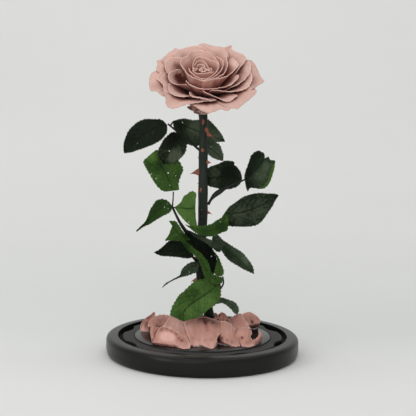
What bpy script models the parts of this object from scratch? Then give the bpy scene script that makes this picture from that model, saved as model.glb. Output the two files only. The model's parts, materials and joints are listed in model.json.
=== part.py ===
"""A preserved rose standing on a round lacquered base, with fallen petals round its foot.

The origin is the middle of the base's underside and +Z points up. The bloom leans
towards -Y, which is the front. Every size below is in millimetres and is turned into
metres by the scale MM.
"""
import math

import bmesh
import bpy
import numpy as np
from mathutils import Vector

MM = 0.001
GAP = 0.3                       # clearance between pieces that touch

# Base: a low round body, a notched ring and a polished disc lying in its recess
BASE_RADIUS = 90.0
BASE_HEIGHT = 18.5
RECESS_FLOOR = 13.5
LIP_INNER_RADIUS = 79.0
SEAT_INNER_RADIUS = 75.0
SEAT_OUTER_RADIUS = 78.8
SEAT_FLOOR = 13.0
RING_OUTER_RADIUS = 74.4
RING_INNER_RADIUS = 63.8
RING_TOP = 17.3
DISC_RADIUS = 63.3
DISC_TOP = 18.2
FOOT_HOLE_RADIUS = 6.6
NOTCH_COUNT = 8
FIRST_NOTCH_ANGLE = -17.75      # degrees from +X
NOTCH_RADIUS = 24.0
NOTCH_CENTRE_RADIUS = 94.0
ROUND_STEPS = 48

# Stem: points on its centre line and the radius at each
STEM_PATH = (
    ((8.0, 6.0, RECESS_FLOOR + 2 * GAP), 5.3),
    ((7.9, 6.0, 17.0), 5.3),
    ((7.0, 6.0, 30.0), 4.9),
    ((4.5, 5.5, 44.0), 4.6),
    ((0.5, 5.0, 58.0), 4.6),
    ((-2.2, 5.0, 74.0), 4.7),
    ((-2.6, 5.0, 92.0), 4.6),
    ((-2.0, 5.0, 112.0), 4.4),
    ((-1.7, 5.0, 145.0), 4.5),
    ((-2.0, 5.2, 178.0), 4.3),
    ((-2.4, 6.4, 205.0), 4.0),
    ((-2.4, 9.0, 216.0), 3.9),
    ((-2.9, 11.4, 223.5), 4.1),
    ((-3.5, 12.2, 228.4), 4.4),
)
# Thorns: height, direction round the stem (0 right, 270 front), length, root radius, droop
THORNS = (
    (218.0, 245.0, 3.0, 1.8, 0.1),
    (209.0, 335.0, 7.5, 2.2, 0.5),
    (191.0, 262.0, 4.0, 2.2, 0.2),
    (181.0, 340.0, 4.0, 2.2, 0.1),
    (171.0, 186.0, 7.5, 2.6, 0.1),
    (155.0, 240.0, 3.5, 1.8, 0.2),
    (137.0, 258.0, 3.0, 1.5, 0.2),
    (133.0, 325.0, 4.0, 2.0, 0.3),
    (98.0, 300.0, 4.5, 2.0, 0.2),
    (91.0, 196.0, 6.0, 1.8, -0.1),
    (84.0, 240.0, 3.0, 1.8, 0.2),
    (71.0, 188.0, 5.5, 2.4, 0.3),
)

# Bloom: its own frame stands on the receptacle and leans towards the front
RECEPTACLE = Vector((-3.7, 7.7, 234.8))
LEAN = 34.5                     # degrees from upright towards -Y
BLOOM_DEPTH = 40.0              # receptacle to the tip of the heart
CANOPY_DROP = 9.7               # how far the rims fall at CANOPY_RADIUS
CANOPY_RADIUS = 50.5
SIDE_DRIFT = 2.7                # the outer rims sit this far to +X of the heart
PETAL_THICKNESS = 0.4

# Section of a petal: a cubic curve from the receptacle to its rim. Its start moves out and
# down with the rim's radius and with the petal's level, counted from the heart outwards
BASE_RADIUS_START = 3.6
BASE_RADIUS_PER_RIM = 0.10
BASE_RADIUS_PER_LEVEL = 0.12
BASE_HEIGHT_START = 9.0
BASE_DROP_PER_RIM = 0.13
BASE_DROP_PER_LEVEL = 0.16
UPRIGHT_RIM_RADIUS = 13.0       # a petal with this rim radius starts straight up
BASE_TILT_PER_RIM = 1.05        # degrees that the start leans out per millimetre of rim radius
RIM_ANGLE = 80.0                # steepness of the rim at UPRIGHT_RIM_RADIUS
RIM_TILT_PER_RIM = 1.95
BASE_HANDLE = 0.5
RIM_HANDLE = 0.3
FOOT_NARROWING = 0.42           # share of its spread that a petal keeps at its foot
PETAL_ROWS = (0.0, 0.3, 0.6, 0.85, 1.0)
PETAL_COLUMN_STEP = 12          # degrees between the columns that all petals share
SHOULDER_DROP = 0.42            # how far the rim sinks at a shoulder, as a share of the petal's height
END_DROP = 0.04                 # and at the point next to it

# Rims of the petals, from the outside in: (angle, radius) points, 0 right, 90 back, 270 front.
# The first and last point of each are its shoulders, where the rim sinks behind its neighbours
PETAL_RIMS = {
    "outer_petal_front": (
        (246, 48.5), (255, 44.8), (261, 46), (266, 49), (270, 51), (279, 51), (287, 48.5), (292, 51.8), (300, 51.8),
        (305, 53.8)),
    "outer_petal_front_right": (
        (280, 40.5), (289, 43.5), (293, 46.5), (299, 49.4), (304, 52), (309, 50.5), (320, 49.6), (336, 49.8), (343, 48.7),
        (352, 51.5)),
    "outer_petal_right": (
        (325, 46), (334, 46), (342, 46.7), (350, 49), (357, 51.2), (363, 49.4), (373, 48.8), (385, 49.3), (396, 49.8),
        (405, 50.5)),
    "outer_petal_left": (
        (160, 49), (169, 48.2), (175, 49.7), (184, 51.5), (195, 52.8), (202, 52.6), (206, 49.5), (211, 48.2), (217, 49.2),
        (226, 54)),
    "outer_petal_front_left": (
        (199, 43), (208, 44.3), (215, 46.4), (222, 49), (229, 53.7), (236, 53.4), (243, 48.7), (252, 43.5), (261, 41.2),
        (270, 39)),
    "outer_petal_left_tip": (
        (138, 51), (147, 49.9), (151.5, 52), (157, 48.3), (166, 46.2), (175, 44.8), (184, 45.5)),
    "outer_petal_left_back": (
        (110, 51.5), (119, 49.5), (124, 52), (131, 50.4), (141, 48.5), (149, 47), (157, 42.5), (166, 41)),
    "middle_petal_left": (
        (168, 39.2), (173, 38.3), (179, 41.5), (185, 44.2), (195, 41.7), (203, 41.2), (212, 43), (221, 42.6), (230, 43)),
    "middle_petal_front_left": (
        (193, 37.5), (202, 35.2), (209, 36.8), (216, 40), (227, 40.7), (238, 39.2), (246, 36.4), (255, 38.4)),
    "middle_petal_front": (
        (234, 27.5), (243, 30.5), (249, 34.8), (259, 35.7), (270, 37), (279, 38), (287, 38.8), (296, 45)),
    "middle_petal_front_right": (
        (257, 25.5), (266, 26.5), (278, 31.7), (289, 37.5), (297, 42.9), (304, 43.5), (311, 42), (318, 42),
        (323, 43.8)),
    "middle_petal_right_low": (
        (287, 28.6), (296, 30.4), (308, 33), (316, 37.5), (322, 42), (332, 44.6), (347, 43.9), (360, 42), (374, 44),
        (381, 45.7), (390, 47)),
    "middle_petal_right": (
        (317, 33.6), (326, 34.2), (336, 36), (347, 37.2), (360, 39.6), (372, 41.2), (384, 43.4), (395, 47.7),
        (399, 49)),
    "outer_petal_back_right": (
        (355, 31), (364, 29.8), (375, 32.7), (388, 40), (397, 46.5), (406, 49), (412, 47.5), (420, 49), (426, 56),
        (430, 48.8), (439, 48)),
    "inner_petal_left_back": (
        (130, 46), (135.5, 43.4), (139.5, 39.8), (143, 38.4), (152, 39.5), (161, 39.6), (170, 37), (184, 35.7),
        (193, 36.2)),
    "inner_petal_left": (
        (166, 24), (174, 27), (178, 32), (185, 33.2), (199, 33), (212, 31.5), (223, 28.7), (232, 24.4),
        (241, 23.7)),
    "inner_petal_front": (
        (199, 20), (208, 20.5), (224, 21.7), (247, 22.3), (262, 24.7), (284, 26), (302, 27.4), (312, 30.2),
        (331, 32.3), (346, 31), (361, 28.4), (364, 28.7)),
    "inner_petal_right": (
        (316, 17), (325, 18.6), (341, 21.6), (359, 25.3), (373, 29.8), (384, 33), (397, 33.6), (406, 33.2),
        (415, 38.6)),
    "outer_petal_back": (
        (36, 27.5), (45, 30.3), (54, 35.4), (64, 43), (70, 46), (78, 45.5), (87, 48), (93, 52), (101, 49.5),
        (110, 49.8)),
    "outer_petal_back_left": (
        (58, 26), (64, 25), (76, 29.5), (88, 34), (96, 43), (104, 46.5), (118, 48.3), (127, 44.3), (136, 40.2),
        (140, 36), (149, 33)),
    "inner_petal_back_left": (
        (75, 27), (84, 27.5), (97, 33.5), (110, 35.8), (118, 31.5), (126, 28.8), (135, 29.4), (150, 26.3), (161, 20.9),
        (175, 16.9), (208, 14.4), (217, 13.8)),
    "bud_petal_right": (
        (253, 13.3), (262, 13.5), (286, 14), (325, 15.2), (352, 17), (378, 19.8), (394, 24), (407, 28.9),
        (416, 26.5)),
    "bud_petal_back": (
        (271, 12.5), (276, 12.5), (300, 11.5), (333, 11.1), (370, 14), (405, 17.5), (420, 21.4), (432, 25), (441, 25.4)),
}
# The heart is the closed bud inside them, with small rolled petals wound round its top
HEART_RIM = (
    (0, 11.2), (40, 14.5), (66, 19.5), (90, 21.5), (112, 20), (136, 13.5), (165, 12.8), (190, 11.2),
    (215, 10), (245, 10.4), (268, 11), (285, 10), (310, 8.9), (340, 8.9), (360, 11.2))
HEART_TURNS = 2.5

# Calyx: a green cup under the bloom, its top a cone that the petals stand on, and five sepals
CUP_PROFILE = (
    (0.0, 5.7), (4.2, 5.6), (7.1, 3.4), (9.3, 0.3), (11.0, -1.9), (11.1, -3.2), (9.6, -5.6), (6.4, -7.6),
    (4.6, -8.9), (0.0, -9.3))
CUP_STEPS = 20
SEPAL_ANGLES = (200, 240, 282, 20, 105)
SEPAL_LENGTH = 18.0
SEPAL_RISE = 24.0               # degrees up from level, in the bloom's frame
SEPAL_SAG = 1.2
SEPAL_WIDTH = 7.0
SEPAL_THICKNESS = 0.9
SEPAL_ROOT = (8.0, -4.2)        # radius and height of its root inside the cup

LEAF_THICKNESS = 0.5
# Leaf stalks: each is a list of branches, and a branch is its points and its radius
STALKS = {
    "leaf_stalk_upper": (
        (((-7.2, 8.0, 193.5), (-15.0, 10.0, 199.0), (-23.0, 12.0, 205.0), (-30.0, 13.0, 210.5), (-34.5, 13.8, 214.6)),
         1.0),
    ),
    "leaf_stalk_middle_left": (
        (((-7.0, 2.0, 103.0), (-13.0, -3.0, 112.5), (-18.0, -6.5, 119.0), (-23.0, -9.3, 127.0), (-27.0, -10.0, 135.0),
          (-29.8, -10.0, 141.0)), 1.1),
        (((-29.8, -10.0, 140.5), (-29.2, -9.5, 147.0), (-29.0, -8.0, 153.6)), 0.7),
    ),
    "leaf_stalk_right": (
        (((4.6, 5.0, 144.0), (8.0, 6.5, 149.0), (15.0, 7.5, 154.0), (27.0, 6.0, 160.5), (36.0, 4.0, 165.0)), 1.0),
    ),
    "leaf_stalk_lower_left": (
        (((-7.8, 2.5, 88.5), (-12.5, -4.0, 96.0), (-17.5, -8.0, 104.5), (-20.4, -9.5, 110.6)), 0.9),
    ),
    "leaf_stalk_lower_right": (
        (((8.0, 4.2, 53.5), (11.5, 1.0, 57.5), (15.5, -5.0, 63.0), (16.0, -8.5, 67.5)), 1.0),
        (((15.5, -5.0, 63.0), (18.5, -3.0, 68.0), (18.0, -2.5, 73.0)), 0.8),
    ),
}

# Leaflets: base, middle and tip of the midrib; half width left and right of it, seen from above;
# the powers that shape the outline towards base and tip; direction of the upper face; fold angle
LEAFLETS = {
    "leaflet_upper_end": (
        (-36.3, 14.2, 214.4), (-54.6, 11, 205.8), (-75.3, 4, 188.1), 11, 12.9, (0.7, 0.75), (-0.2, -0.85, 0.45), 8),
    "leaflet_upper_front": (
        (-25.3, 7, 205.1), (-31.5, -1, 194), (-38.4, -9, 180.1), 12.9, 11.5, (0.6, 0.6), (0.25, -0.9, 0.3), 10),
    "leaflet_upper_back": (
        (-30.8, 16, 215.5), (-6.5, 22, 207.4), (17.9, 25, 198.1), 11.5, 13.3, (0.55, 0.6), (0.1, -0.98, 0.12), 10),
    "leaflet_upper_right": (
        (-2.6, 27, 196.6), (5.9, 27, 189.7), (16.8, 24, 180), 9.2, 6, (0.6, 0.5), (0.3, -0.95, 0.1), 6),
    "leaflet_left_top": (
        (-28.9, -7.5, 155.8), (-37.5, 1, 173.4), (-46.7, 9, 191.3), 15.6, 15.6, (0.75, 0.55), (-0.2, -0.95, 0.1), 14),
    "leaflet_left_long": (
        (-31.3, -11, 139.5), (-45.4, -15, 135.1), (-62.5, -18, 118.1), 7.4, 9.2, (0.6, 1.1), (0.2, -0.85, 0.45), 14),
    "leaflet_left_inner": (
        (-27.2, -11.5, 140.3), (-7, -11, 139.3), (-12.7, 6, 135.7), 15.6, 16.1, (0.9, 0.6), (0.77, -0.64, 0), 4),
    "leaflet_left_low": (
        (-22, -11, 109.2), (-25.1, -12, 118.7), (-31.6, -11, 128.2), 9.7, 9.7, (0.2, 0.75), (-0.2, -0.95, 0.2), 10),
    "leaflet_right_inner": (
        (34.1, 7, 166.3), (15.6, 12, 167.1), (-3.9, 17, 163.4), 12, 12.9, (0.55, 0.5), (-0.1, -0.98, 0.08), 8),
    "leaflet_right_end": (
        (38.3, 3, 166), (47.6, 0, 175.4), (61, -4, 186.8), 15, 15.6, (0.5, 0.5), (0.3, -0.95, -0.1), 17),
    "leaflet_right_long": (
        (20, -4, 124.7), (42.7, -8, 137.4), (67.5, -10, 153.2), 15.6, 12.9, (0.45, 0.6), (0.2, -0.85, 0.45), 8),
    "leaflet_bright_front": (
        (19.8, -10, 128.3), (2.5, -18, 120.6), (-18.7, -17.5, 124.4), 6.4, 6.4, (0.3, 0.8), (0, -0.75, 0.65), 16),
    "leaflet_lower_right": (
        (4.5, -6.5, 111.3), (25.9, -14, 98.9), (46.3, -20, 81.3), 6.4, 6.4, (0.5, 0.5), (0.2, -0.85, 0.5), 24),
    "leaflet_lower_left": (
        (-10.2, 1.5, 101.3), (-26.8, -3.5, 100.9), (-44.7, -8, 97), 8.3, 8.3, (0.4, 0.7), (0, -0.99, 0.05), 8),
    "leaflet_curled_left": (
        (-7.4, 1.5, 83.2), (-19.1, -3, 77.2), (-37.8, -8, 65.1), 4.1, 6.4, (0.35, 1.6), (-0.1, -0.9, 0.4), 12),
    "leaflet_hanging": (
        (-20.8, -14.5, 110.3), (-2.5, -16.5, 91), (16.7, -15, 73.2), 3.9, 4.1, (0.4, 0.4), (0.3, -0.9, 0.3), 14),
    "leaflet_small_right": (
        (18, -2.5, 75.2), (14.8, -5, 86.2), (7.9, -7, 100.6), 4.1, 4.1, (0.35, 0.8), (0.3, -0.95, 0.1), 12),
    "leaflet_bottom_large": (
        (14.8, -10.5, 69.1), (-6, -20, 55), (-27.3, -26, 41.9), 13.3, 14.7, (0.45, 0.35), (0.1, -0.9, 0.4), 8),
    "leaflet_bottom_right": (
        (14.9, 5, 51.3), (26.2, 2, 48.9), (32.8, -4, 39.8), 3.2, 2.9, (0.3, 0.5), (0.3, -0.6, 0.7), 12),
}

# Fallen petals: middle, right, back, left and front points of each
FALLEN_PETALS = {
    "fallen_petal_left": ((-53, 11, 26.5), (-46.5, 12.5, 25.5), (-47, 20, 34), (-59, 6, 24.5), (-54, 1, 19.8)),
    "fallen_petal_back_left": ((-41, 1, 34), (-29, 6, 32), (-37, 18, 26), (-50, -7, 27.5), (-43, -13, 28)),
    "fallen_petal_front_left": (
        (-31, -42, 27), (-13.5, -45, 20.5), (-34, -31, 28.5), (-46, -45, 24), (-27, -51, 20)),
    "fallen_petal_leaning_left": (
        (-27, -20, 31), (-18, -19, 29), (-23, -8, 36.5), (-35, -23, 33), (-24, -29, 20)),
    "fallen_petal_centre": ((0, -33, 29), (14, -34, 27.5), (0, -11, 35), (-13, -33, 28), (2, -51, 20)),
    "fallen_petal_front_right": ((24.5, -29, 27.5), (32, -20, 25), (25, -9, 32), (17, -34, 28), (26, -46, 20)),
    "fallen_petal_right_bowl": ((40, -32, 23.5), (52, -25, 22), (40, -19, 29), (33.5, -34, 22.5), (39, -43, 20)),
    "fallen_petal_leaning_right": ((35, -3, 31), (44, -2, 27), (35, 9, 36.5), (27, 1, 31), (36, -17, 20)),
}
FALLEN_PETAL_THICKNESS = 0.6
FALLEN_PETAL_CELLS = 5
FALLEN_PETAL_LOWEST = DISC_TOP + 2 * GAP + FALLEN_PETAL_THICKNESS / 2

LEAF_COLUMNS = 2
LEAF_ROWS = 7
LEAF_TIP_WIDTH = 0.5            # half width that is left at the base and the tip
STEM_SIDES = 10
STALK_SIDES = 6
THORN_SIDES = 6
HEART_STEPS = 20
HEART_TOP_ROWS = (0.78, 0.5, 0.24)
HEART_RIDGE = 1.6               # height of the winding ridge on the heart's top


def clear_scene():
    for item in list(bpy.data.objects):
        bpy.data.objects.remove(item, do_unlink=True)


def new_collection(name):
    group = bpy.data.collections.new(name)
    bpy.context.scene.collection.children.link(group)
    return group


def paint(name, colour, roughness, metallic=0.0):
    material = bpy.data.materials.new(name)
    material.use_nodes = True
    shader = material.node_tree.nodes["Principled BSDF"]
    shader.inputs["Base Color"].default_value = (*colour, 1.0)
    shader.inputs["Roughness"].default_value = roughness
    shader.inputs["Metallic"].default_value = metallic
    return material


def add_object(name, mesh, group, material=None):
    piece = bpy.data.objects.new(name, mesh)
    group.objects.link(piece)
    if material:
        mesh.materials.append(material)
    return piece


def mesh_from(bm, name):
    mesh = bpy.data.meshes.new(name)
    bm.to_mesh(mesh)
    bm.free()
    mesh.shade_smooth()
    return mesh


def hide_cutter(piece):
    piece.hide_render = True
    piece.display_type = "WIRE"
    return piece


def combine(piece, other, operation):
    boolean = piece.modifiers.new(operation.title(), "BOOLEAN")
    boolean.operation = operation
    boolean.solver = "EXACT"
    boolean.use_self = operation == "UNION"
    boolean.object = other


def turned(name, profile, steps, group, material=None, closed=False):
    """A profile of (radius, height) points turned round the Z axis with a Screw modifier."""
    bm = bmesh.new()
    points = [bm.verts.new((radius * MM, 0.0, height * MM)) for radius, height in profile]
    for first, second in zip(points, points[1:]):
        bm.edges.new((first, second))
    if closed:
        bm.edges.new((points[-1], points[0]))
    piece = add_object(name, mesh_from(bm, name), group, material)
    screw = piece.modifiers.new("Turn", "SCREW")
    screw.steps = steps
    screw.render_steps = steps
    screw.use_merge_vertices = True
    screw.merge_threshold = 0.00001
    return piece


def cylinder(name, radius, depth, centre, sides, group):
    bm = bmesh.new()
    bmesh.ops.create_cone(
        bm, cap_ends=True, segments=sides, radius1=radius * MM, radius2=radius * MM, depth=depth * MM)
    piece = add_object(name, mesh_from(bm, name), group)
    piece.location = Vector(centre) * MM
    return piece


def smooth_path(points, steps):
    """A Catmull-Rom curve through the points, with steps samples between each two."""
    points = np.array(points, float)
    padded = np.vstack([2 * points[0] - points[1], points, 2 * points[-1] - points[-2]])
    samples = []
    for index in range(len(points) - 1):
        before, start, end, after = padded[index:index + 4]
        for t in np.arange(steps) / steps:
            samples.append(0.5 * (2 * start + (end - before) * t
                                  + (2 * before - 5 * start + 4 * end - after) * t ** 2
                                  + (3 * start - before - 3 * end + after) * t ** 3))
    return samples + [points[-1]]


def tube(name, path, sides, group, material=None):
    """A round stem along (x, y, z, radius) points, made as a bevelled curve and turned to mesh."""
    curve = bpy.data.curves.new(name, "CURVE")
    curve.dimensions = "3D"
    curve.bevel_depth = MM
    curve.bevel_resolution = (sides - 4) // 2
    curve.use_fill_caps = True
    spline = curve.splines.new("POLY")
    spline.points.add(len(path) - 1)
    for point, (x, y, z, radius) in zip(spline.points, path):
        point.co = (x * MM, y * MM, z * MM, 1.0)
        point.radius = radius
    guide = bpy.data.objects.new(name + "_curve", curve)
    bpy.context.scene.collection.objects.link(guide)
    bpy.context.view_layer.update()
    evaluated = guide.evaluated_get(bpy.context.evaluated_depsgraph_get())
    mesh = bpy.data.meshes.new_from_object(evaluated)
    mesh.name = name
    bpy.data.objects.remove(guide, do_unlink=True)
    bm = bmesh.new()
    bm.from_mesh(mesh)
    bmesh.ops.remove_doubles(bm, verts=bm.verts, dist=0.01 * MM)
    bm.to_mesh(mesh)
    bm.free()
    mesh.shade_smooth()
    mesh.materials.clear()
    return add_object(name, mesh, group, material)


def add_sheet(bm, columns, rows, place):
    """A grid of columns by rows cells, its point (column, row) moved to place(column, row)."""
    grid = bmesh.ops.create_grid(bm, x_segments=columns, y_segments=rows, size=1.0)
    for vertex in grid["verts"]:
        column = round((vertex.co.x + 1) / 2 * columns)
        row = round((vertex.co.y + 1) / 2 * rows)
        vertex.co = Vector(place(column, row)) * MM


def thicken(piece, thickness):
    solidify = piece.modifiers.new("Thickness", "SOLIDIFY")
    solidify.thickness = thickness * MM
    solidify.offset = 0.0
    solidify.use_even_offset = True


def sheet(name, columns, rows, place, thickness, group, material=None):
    bm = bmesh.new()
    add_sheet(bm, columns, rows, place)
    piece = add_object(name, mesh_from(bm, name), group, material)
    thicken(piece, thickness)
    return piece


def from_bloom(x, y, z):
    """A point of the bloom's own frame, in the part's frame."""
    lean = math.radians(LEAN)
    return RECEPTACLE + Vector(
        (x, y * math.cos(lean) - z * math.sin(lean), y * math.sin(lean) + z * math.cos(lean)))


def rim_radius(rim, angle):
    """Radius of a rim at an angle: a smooth curve through its (angle, radius) points."""
    angles = np.array([point[0] for point in rim], float)
    radii = np.array([point[1] for point in rim], float)
    slopes = np.gradient(radii, angles)
    first = int(np.clip(np.searchsorted(angles, angle, side="right") - 1, 0, len(rim) - 2))
    span = angles[first + 1] - angles[first]
    t = (angle - angles[first]) / span
    return float((2 * t ** 3 - 3 * t ** 2 + 1) * radii[first] + (t ** 3 - 2 * t ** 2 + t) * span * slopes[first]
                 + (3 * t ** 2 - 2 * t ** 3) * radii[first + 1] + (t ** 3 - t ** 2) * span * slopes[first + 1])


def canopy_height(radius):
    return BLOOM_DEPTH - CANOPY_DROP * (radius / CANOPY_RADIUS) ** 2


def petal_section(rim, level, v):
    """Radius and height of a petal's section at v, from 0 at its foot to 1 at its rim."""
    foot = Vector((BASE_RADIUS_START + BASE_RADIUS_PER_RIM * rim + BASE_RADIUS_PER_LEVEL * level,
                   BASE_HEIGHT_START - BASE_DROP_PER_RIM * rim - BASE_DROP_PER_LEVEL * level))
    top = Vector((rim, canopy_height(rim)))
    foot_angle = math.radians(90.0 - BASE_TILT_PER_RIM * (rim - UPRIGHT_RIM_RADIUS))
    top_angle = math.radians(RIM_ANGLE - RIM_TILT_PER_RIM * (rim - UPRIGHT_RIM_RADIUS))
    reach = (top - foot).length
    lower = foot + BASE_HANDLE * reach * Vector((math.cos(foot_angle), math.sin(foot_angle)))
    upper = top - RIM_HANDLE * reach * Vector((math.cos(top_angle), math.sin(top_angle)))
    return ((1 - v) ** 3 * foot + 3 * (1 - v) ** 2 * v * lower
            + 3 * (1 - v) * v ** 2 * upper + v ** 3 * top)


def bloom_point(radius, angle, height):
    """Polar bloom coordinates, angle in degrees; wide rims drift a little to +X."""
    turn = math.radians(angle)
    drift = SIDE_DRIFT * radius / CANOPY_RADIUS
    return from_bloom(radius * math.cos(turn) + drift, radius * math.sin(turn), height)


def petal_point(rim, level, angle, v):
    """Point of a petal: its sides draw together towards its foot."""
    middle = (rim[0][0] + rim[-1][0]) / 2
    spread = FOOT_NARROWING + (1 - FOOT_NARROWING) * (1 - (1 - v) ** 3)
    turned_angle = middle + (angle - middle) * spread
    radius, height = petal_section(rim_radius(rim, turned_angle), level, v)
    return bloom_point(radius, turned_angle, height)


def petal_columns(rim):
    """The rim's own angles, and the shared ones that lie clear between them."""
    own = [point[0] for point in rim]
    clear = PETAL_COLUMN_STEP / 3
    first = math.ceil(own[0] / PETAL_COLUMN_STEP) * PETAL_COLUMN_STEP
    shared = [angle for angle in range(first, own[-1], PETAL_COLUMN_STEP)
              if min(abs(angle - other) for other in own) > clear]
    return sorted(own + shared)


def make_petals(group):
    colour = paint("petal", (0.80, 0.33, 0.21), 0.75)
    for index, (name, rim) in enumerate(PETAL_RIMS.items()):
        level = len(PETAL_RIMS) - index
        angles = petal_columns(rim)

        def place(column, row):
            from_end = min(column, len(angles) - 1 - column)
            top = 1.0 - (SHOULDER_DROP, END_DROP, 0.0)[min(from_end, 2)]
            return petal_point(rim, level, angles[column], PETAL_ROWS[row] * top)

        sheet(name, len(angles) - 1, len(PETAL_ROWS) - 1, place, PETAL_THICKNESS, group, colour)


def make_heart(group):
    """The closed bud: its wall follows HEART_RIM and its top carries one winding ridge."""
    rows = len(PETAL_ROWS) + len(HEART_TOP_ROWS)
    bm = bmesh.new()
    bmesh.ops.create_uvsphere(bm, u_segments=HEART_STEPS, v_segments=rows + 1, radius=1.0)
    for vertex in bm.verts:
        angle = math.degrees(math.atan2(vertex.co.y, vertex.co.x)) % 360
        row = round((math.asin(max(-1.0, min(1.0, vertex.co.z))) / math.pi + 0.5) * (rows + 1)) - 1
        rim = rim_radius(HEART_RIM, angle)
        if row < 0:
            radius, height = 0.0, BASE_HEIGHT_START - BASE_DROP_PER_RIM * rim - GAP
        elif row < len(PETAL_ROWS):
            radius, height = petal_section(rim, 0, PETAL_ROWS[row])
        elif row < rows:
            share = HEART_TOP_ROWS[row - len(PETAL_ROWS)]
            turn = (angle / 360 + HEART_TURNS * share) % 1.0
            radius, height = rim * share, canopy_height(rim) - HEART_RIDGE * turn
        else:
            radius, height = 0.0, BLOOM_DEPTH - HEART_RIDGE
        vertex.co = bloom_point(radius, angle, height) * MM
    add_object("heart", mesh_from(bm, "heart"), group, paint("heart_petal", (0.84, 0.38, 0.22), 0.75))


def make_base(group, cutters):
    seat = ((SEAT_INNER_RADIUS, RECESS_FLOOR), (SEAT_INNER_RADIUS, SEAT_FLOOR), (SEAT_OUTER_RADIUS, SEAT_FLOOR))
    rim_bevel = ((LIP_INNER_RADIUS, BASE_HEIGHT - 0.9), (LIP_INNER_RADIUS + 0.9, BASE_HEIGHT))
    side = ((BASE_RADIUS - 4.0, BASE_HEIGHT), (BASE_RADIUS - 1.4, BASE_HEIGHT - 0.9),
            (BASE_RADIUS - 0.3, BASE_HEIGHT - 3.5), (BASE_RADIUS, BASE_HEIGHT / 2),
            (BASE_RADIUS - 1.2, 1.4), (BASE_RADIUS - 2.6, 0.0))
    profile = ((0.0, RECESS_FLOOR), *seat, *rim_bevel, *side, (0.0, 0.0))
    turned("base_body", profile, ROUND_STEPS, group, paint("lacquered_body", (0.006, 0.006, 0.007), 0.3))

    floor = RECESS_FLOOR + GAP
    ring_profile = ((RING_INNER_RADIUS, floor), (RING_INNER_RADIUS, RING_TOP), (RING_OUTER_RADIUS, RING_TOP),
                    (RING_OUTER_RADIUS, floor))
    ring = turned("ring", ring_profile, ROUND_STEPS, group, paint("dull_ring", (0.02, 0.018, 0.019), 0.55),
                  closed=True)
    for index in range(NOTCH_COUNT):
        angle = math.radians(FIRST_NOTCH_ANGLE + index * 360 / NOTCH_COUNT)
        centre = (NOTCH_CENTRE_RADIUS * math.cos(angle), NOTCH_CENTRE_RADIUS * math.sin(angle), RING_TOP)
        name = f"notch_cutter_{index + 1}"
        notch = hide_cutter(cylinder(name, NOTCH_RADIUS, BASE_HEIGHT, centre, ROUND_STEPS // 2, cutters))
        combine(ring, notch, "DIFFERENCE")

    disc_profile = ((0.0, DISC_TOP), (DISC_RADIUS - 0.7, DISC_TOP), (DISC_RADIUS, DISC_TOP - 0.7),
                    (DISC_RADIUS, floor), (0.0, floor))
    disc = turned("disc", disc_profile, ROUND_STEPS, group, paint("polished_disc", (0.008, 0.008, 0.009), 0.08))
    foot = STEM_PATH[0][0]
    hole = cylinder("foot_hole_cutter", FOOT_HOLE_RADIUS, BASE_HEIGHT, foot, ROUND_STEPS // 2, cutters)
    combine(disc, hide_cutter(hole), "DIFFERENCE")


def stem_point(height):
    """Centre and radius of the stem at a height."""
    path = np.array([(*point, radius) for point, radius in STEM_PATH])
    x, y, radius = (np.interp(height, path[:, 2], path[:, column]) for column in (0, 1, 3))
    return Vector((x, y, height)), radius


def make_thorns(cutters):
    bm = bmesh.new()
    for height, direction, length, root, droop in THORNS:
        centre, radius = stem_point(height)
        turn = math.radians(direction)
        outward = Vector((math.cos(turn), math.sin(turn), -droop)).normalized()
        sunk = radius * 0.5
        middle = centre + outward * (sunk + (radius - sunk + length) / 2)
        matrix = outward.to_track_quat("Z", "X").to_matrix().to_4x4()
        matrix.translation = middle * MM
        bmesh.ops.create_cone(
            bm, cap_ends=True, segments=THORN_SIDES, radius1=root * MM, radius2=0.15 * MM,
            depth=(radius - sunk + length) * MM, matrix=matrix)
    return hide_cutter(add_object("thorns_shape", mesh_from(bm, "thorns_shape"), cutters))


def sepal_point(angle, across, along):
    """Point of a sepal: it leaves the cup sideways and spreads under the petals."""
    root_radius, root_height = SEPAL_ROOT
    rise = math.radians(SEPAL_RISE)
    radius = root_radius + SEPAL_LENGTH * along * math.cos(rise)
    height = root_height + SEPAL_LENGTH * along * math.sin(rise) - SEPAL_SAG * 4 * along * (1 - along)
    width = SEPAL_WIDTH / 2 * (1.0 - along) ** 0.7 + 0.3
    turn = math.radians(angle)
    x = radius * math.cos(turn) - across * width * math.sin(turn)
    y = radius * math.sin(turn) + across * width * math.cos(turn)
    return from_bloom(x, y, height)


def make_sepals(cutters):
    columns, rows = 2, 5
    bm = bmesh.new()
    for angle in SEPAL_ANGLES:
        add_sheet(bm, columns, rows,
                  lambda column, row: sepal_point(angle, 2 * column / columns - 1, row / rows))
    piece = add_object("sepals_shape", mesh_from(bm, "sepals_shape"), cutters)
    thicken(piece, SEPAL_THICKNESS)
    return hide_cutter(piece)


def make_stem(group, cutters):
    """Stem, thorns and calyx grew as one piece, so they are joined into one solid."""
    path = smooth_path([(*point, radius) for point, radius in STEM_PATH], 2)
    stem = tube("stem", path, STEM_SIDES, group, paint("stem_bark", (0.075, 0.035, 0.012), 0.7))
    cup = hide_cutter(turned("cup_shape", CUP_PROFILE, CUP_STEPS, cutters))
    cup.location = RECEPTACLE * MM
    cup.rotation_euler = (math.radians(LEAN), 0.0, 0.0)
    combine(stem, cup, "UNION")
    combine(stem, make_sepals(cutters), "UNION")
    combine(stem, make_thorns(cutters), "UNION")


def make_stalks(group, cutters):
    colour = paint("leaf_stalk", (0.05, 0.045, 0.012), 0.7)
    for name, branches in STALKS.items():
        paths = [smooth_path([(*point, radius) for point in points], 2) for points, radius in branches]
        stalk = tube(name, paths[0], STALK_SIDES, group, colour)
        for path in paths[1:]:
            fork = hide_cutter(tube(name + "_fork_shape", path, STALK_SIDES, cutters))
            combine(stalk, fork, "UNION")


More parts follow.
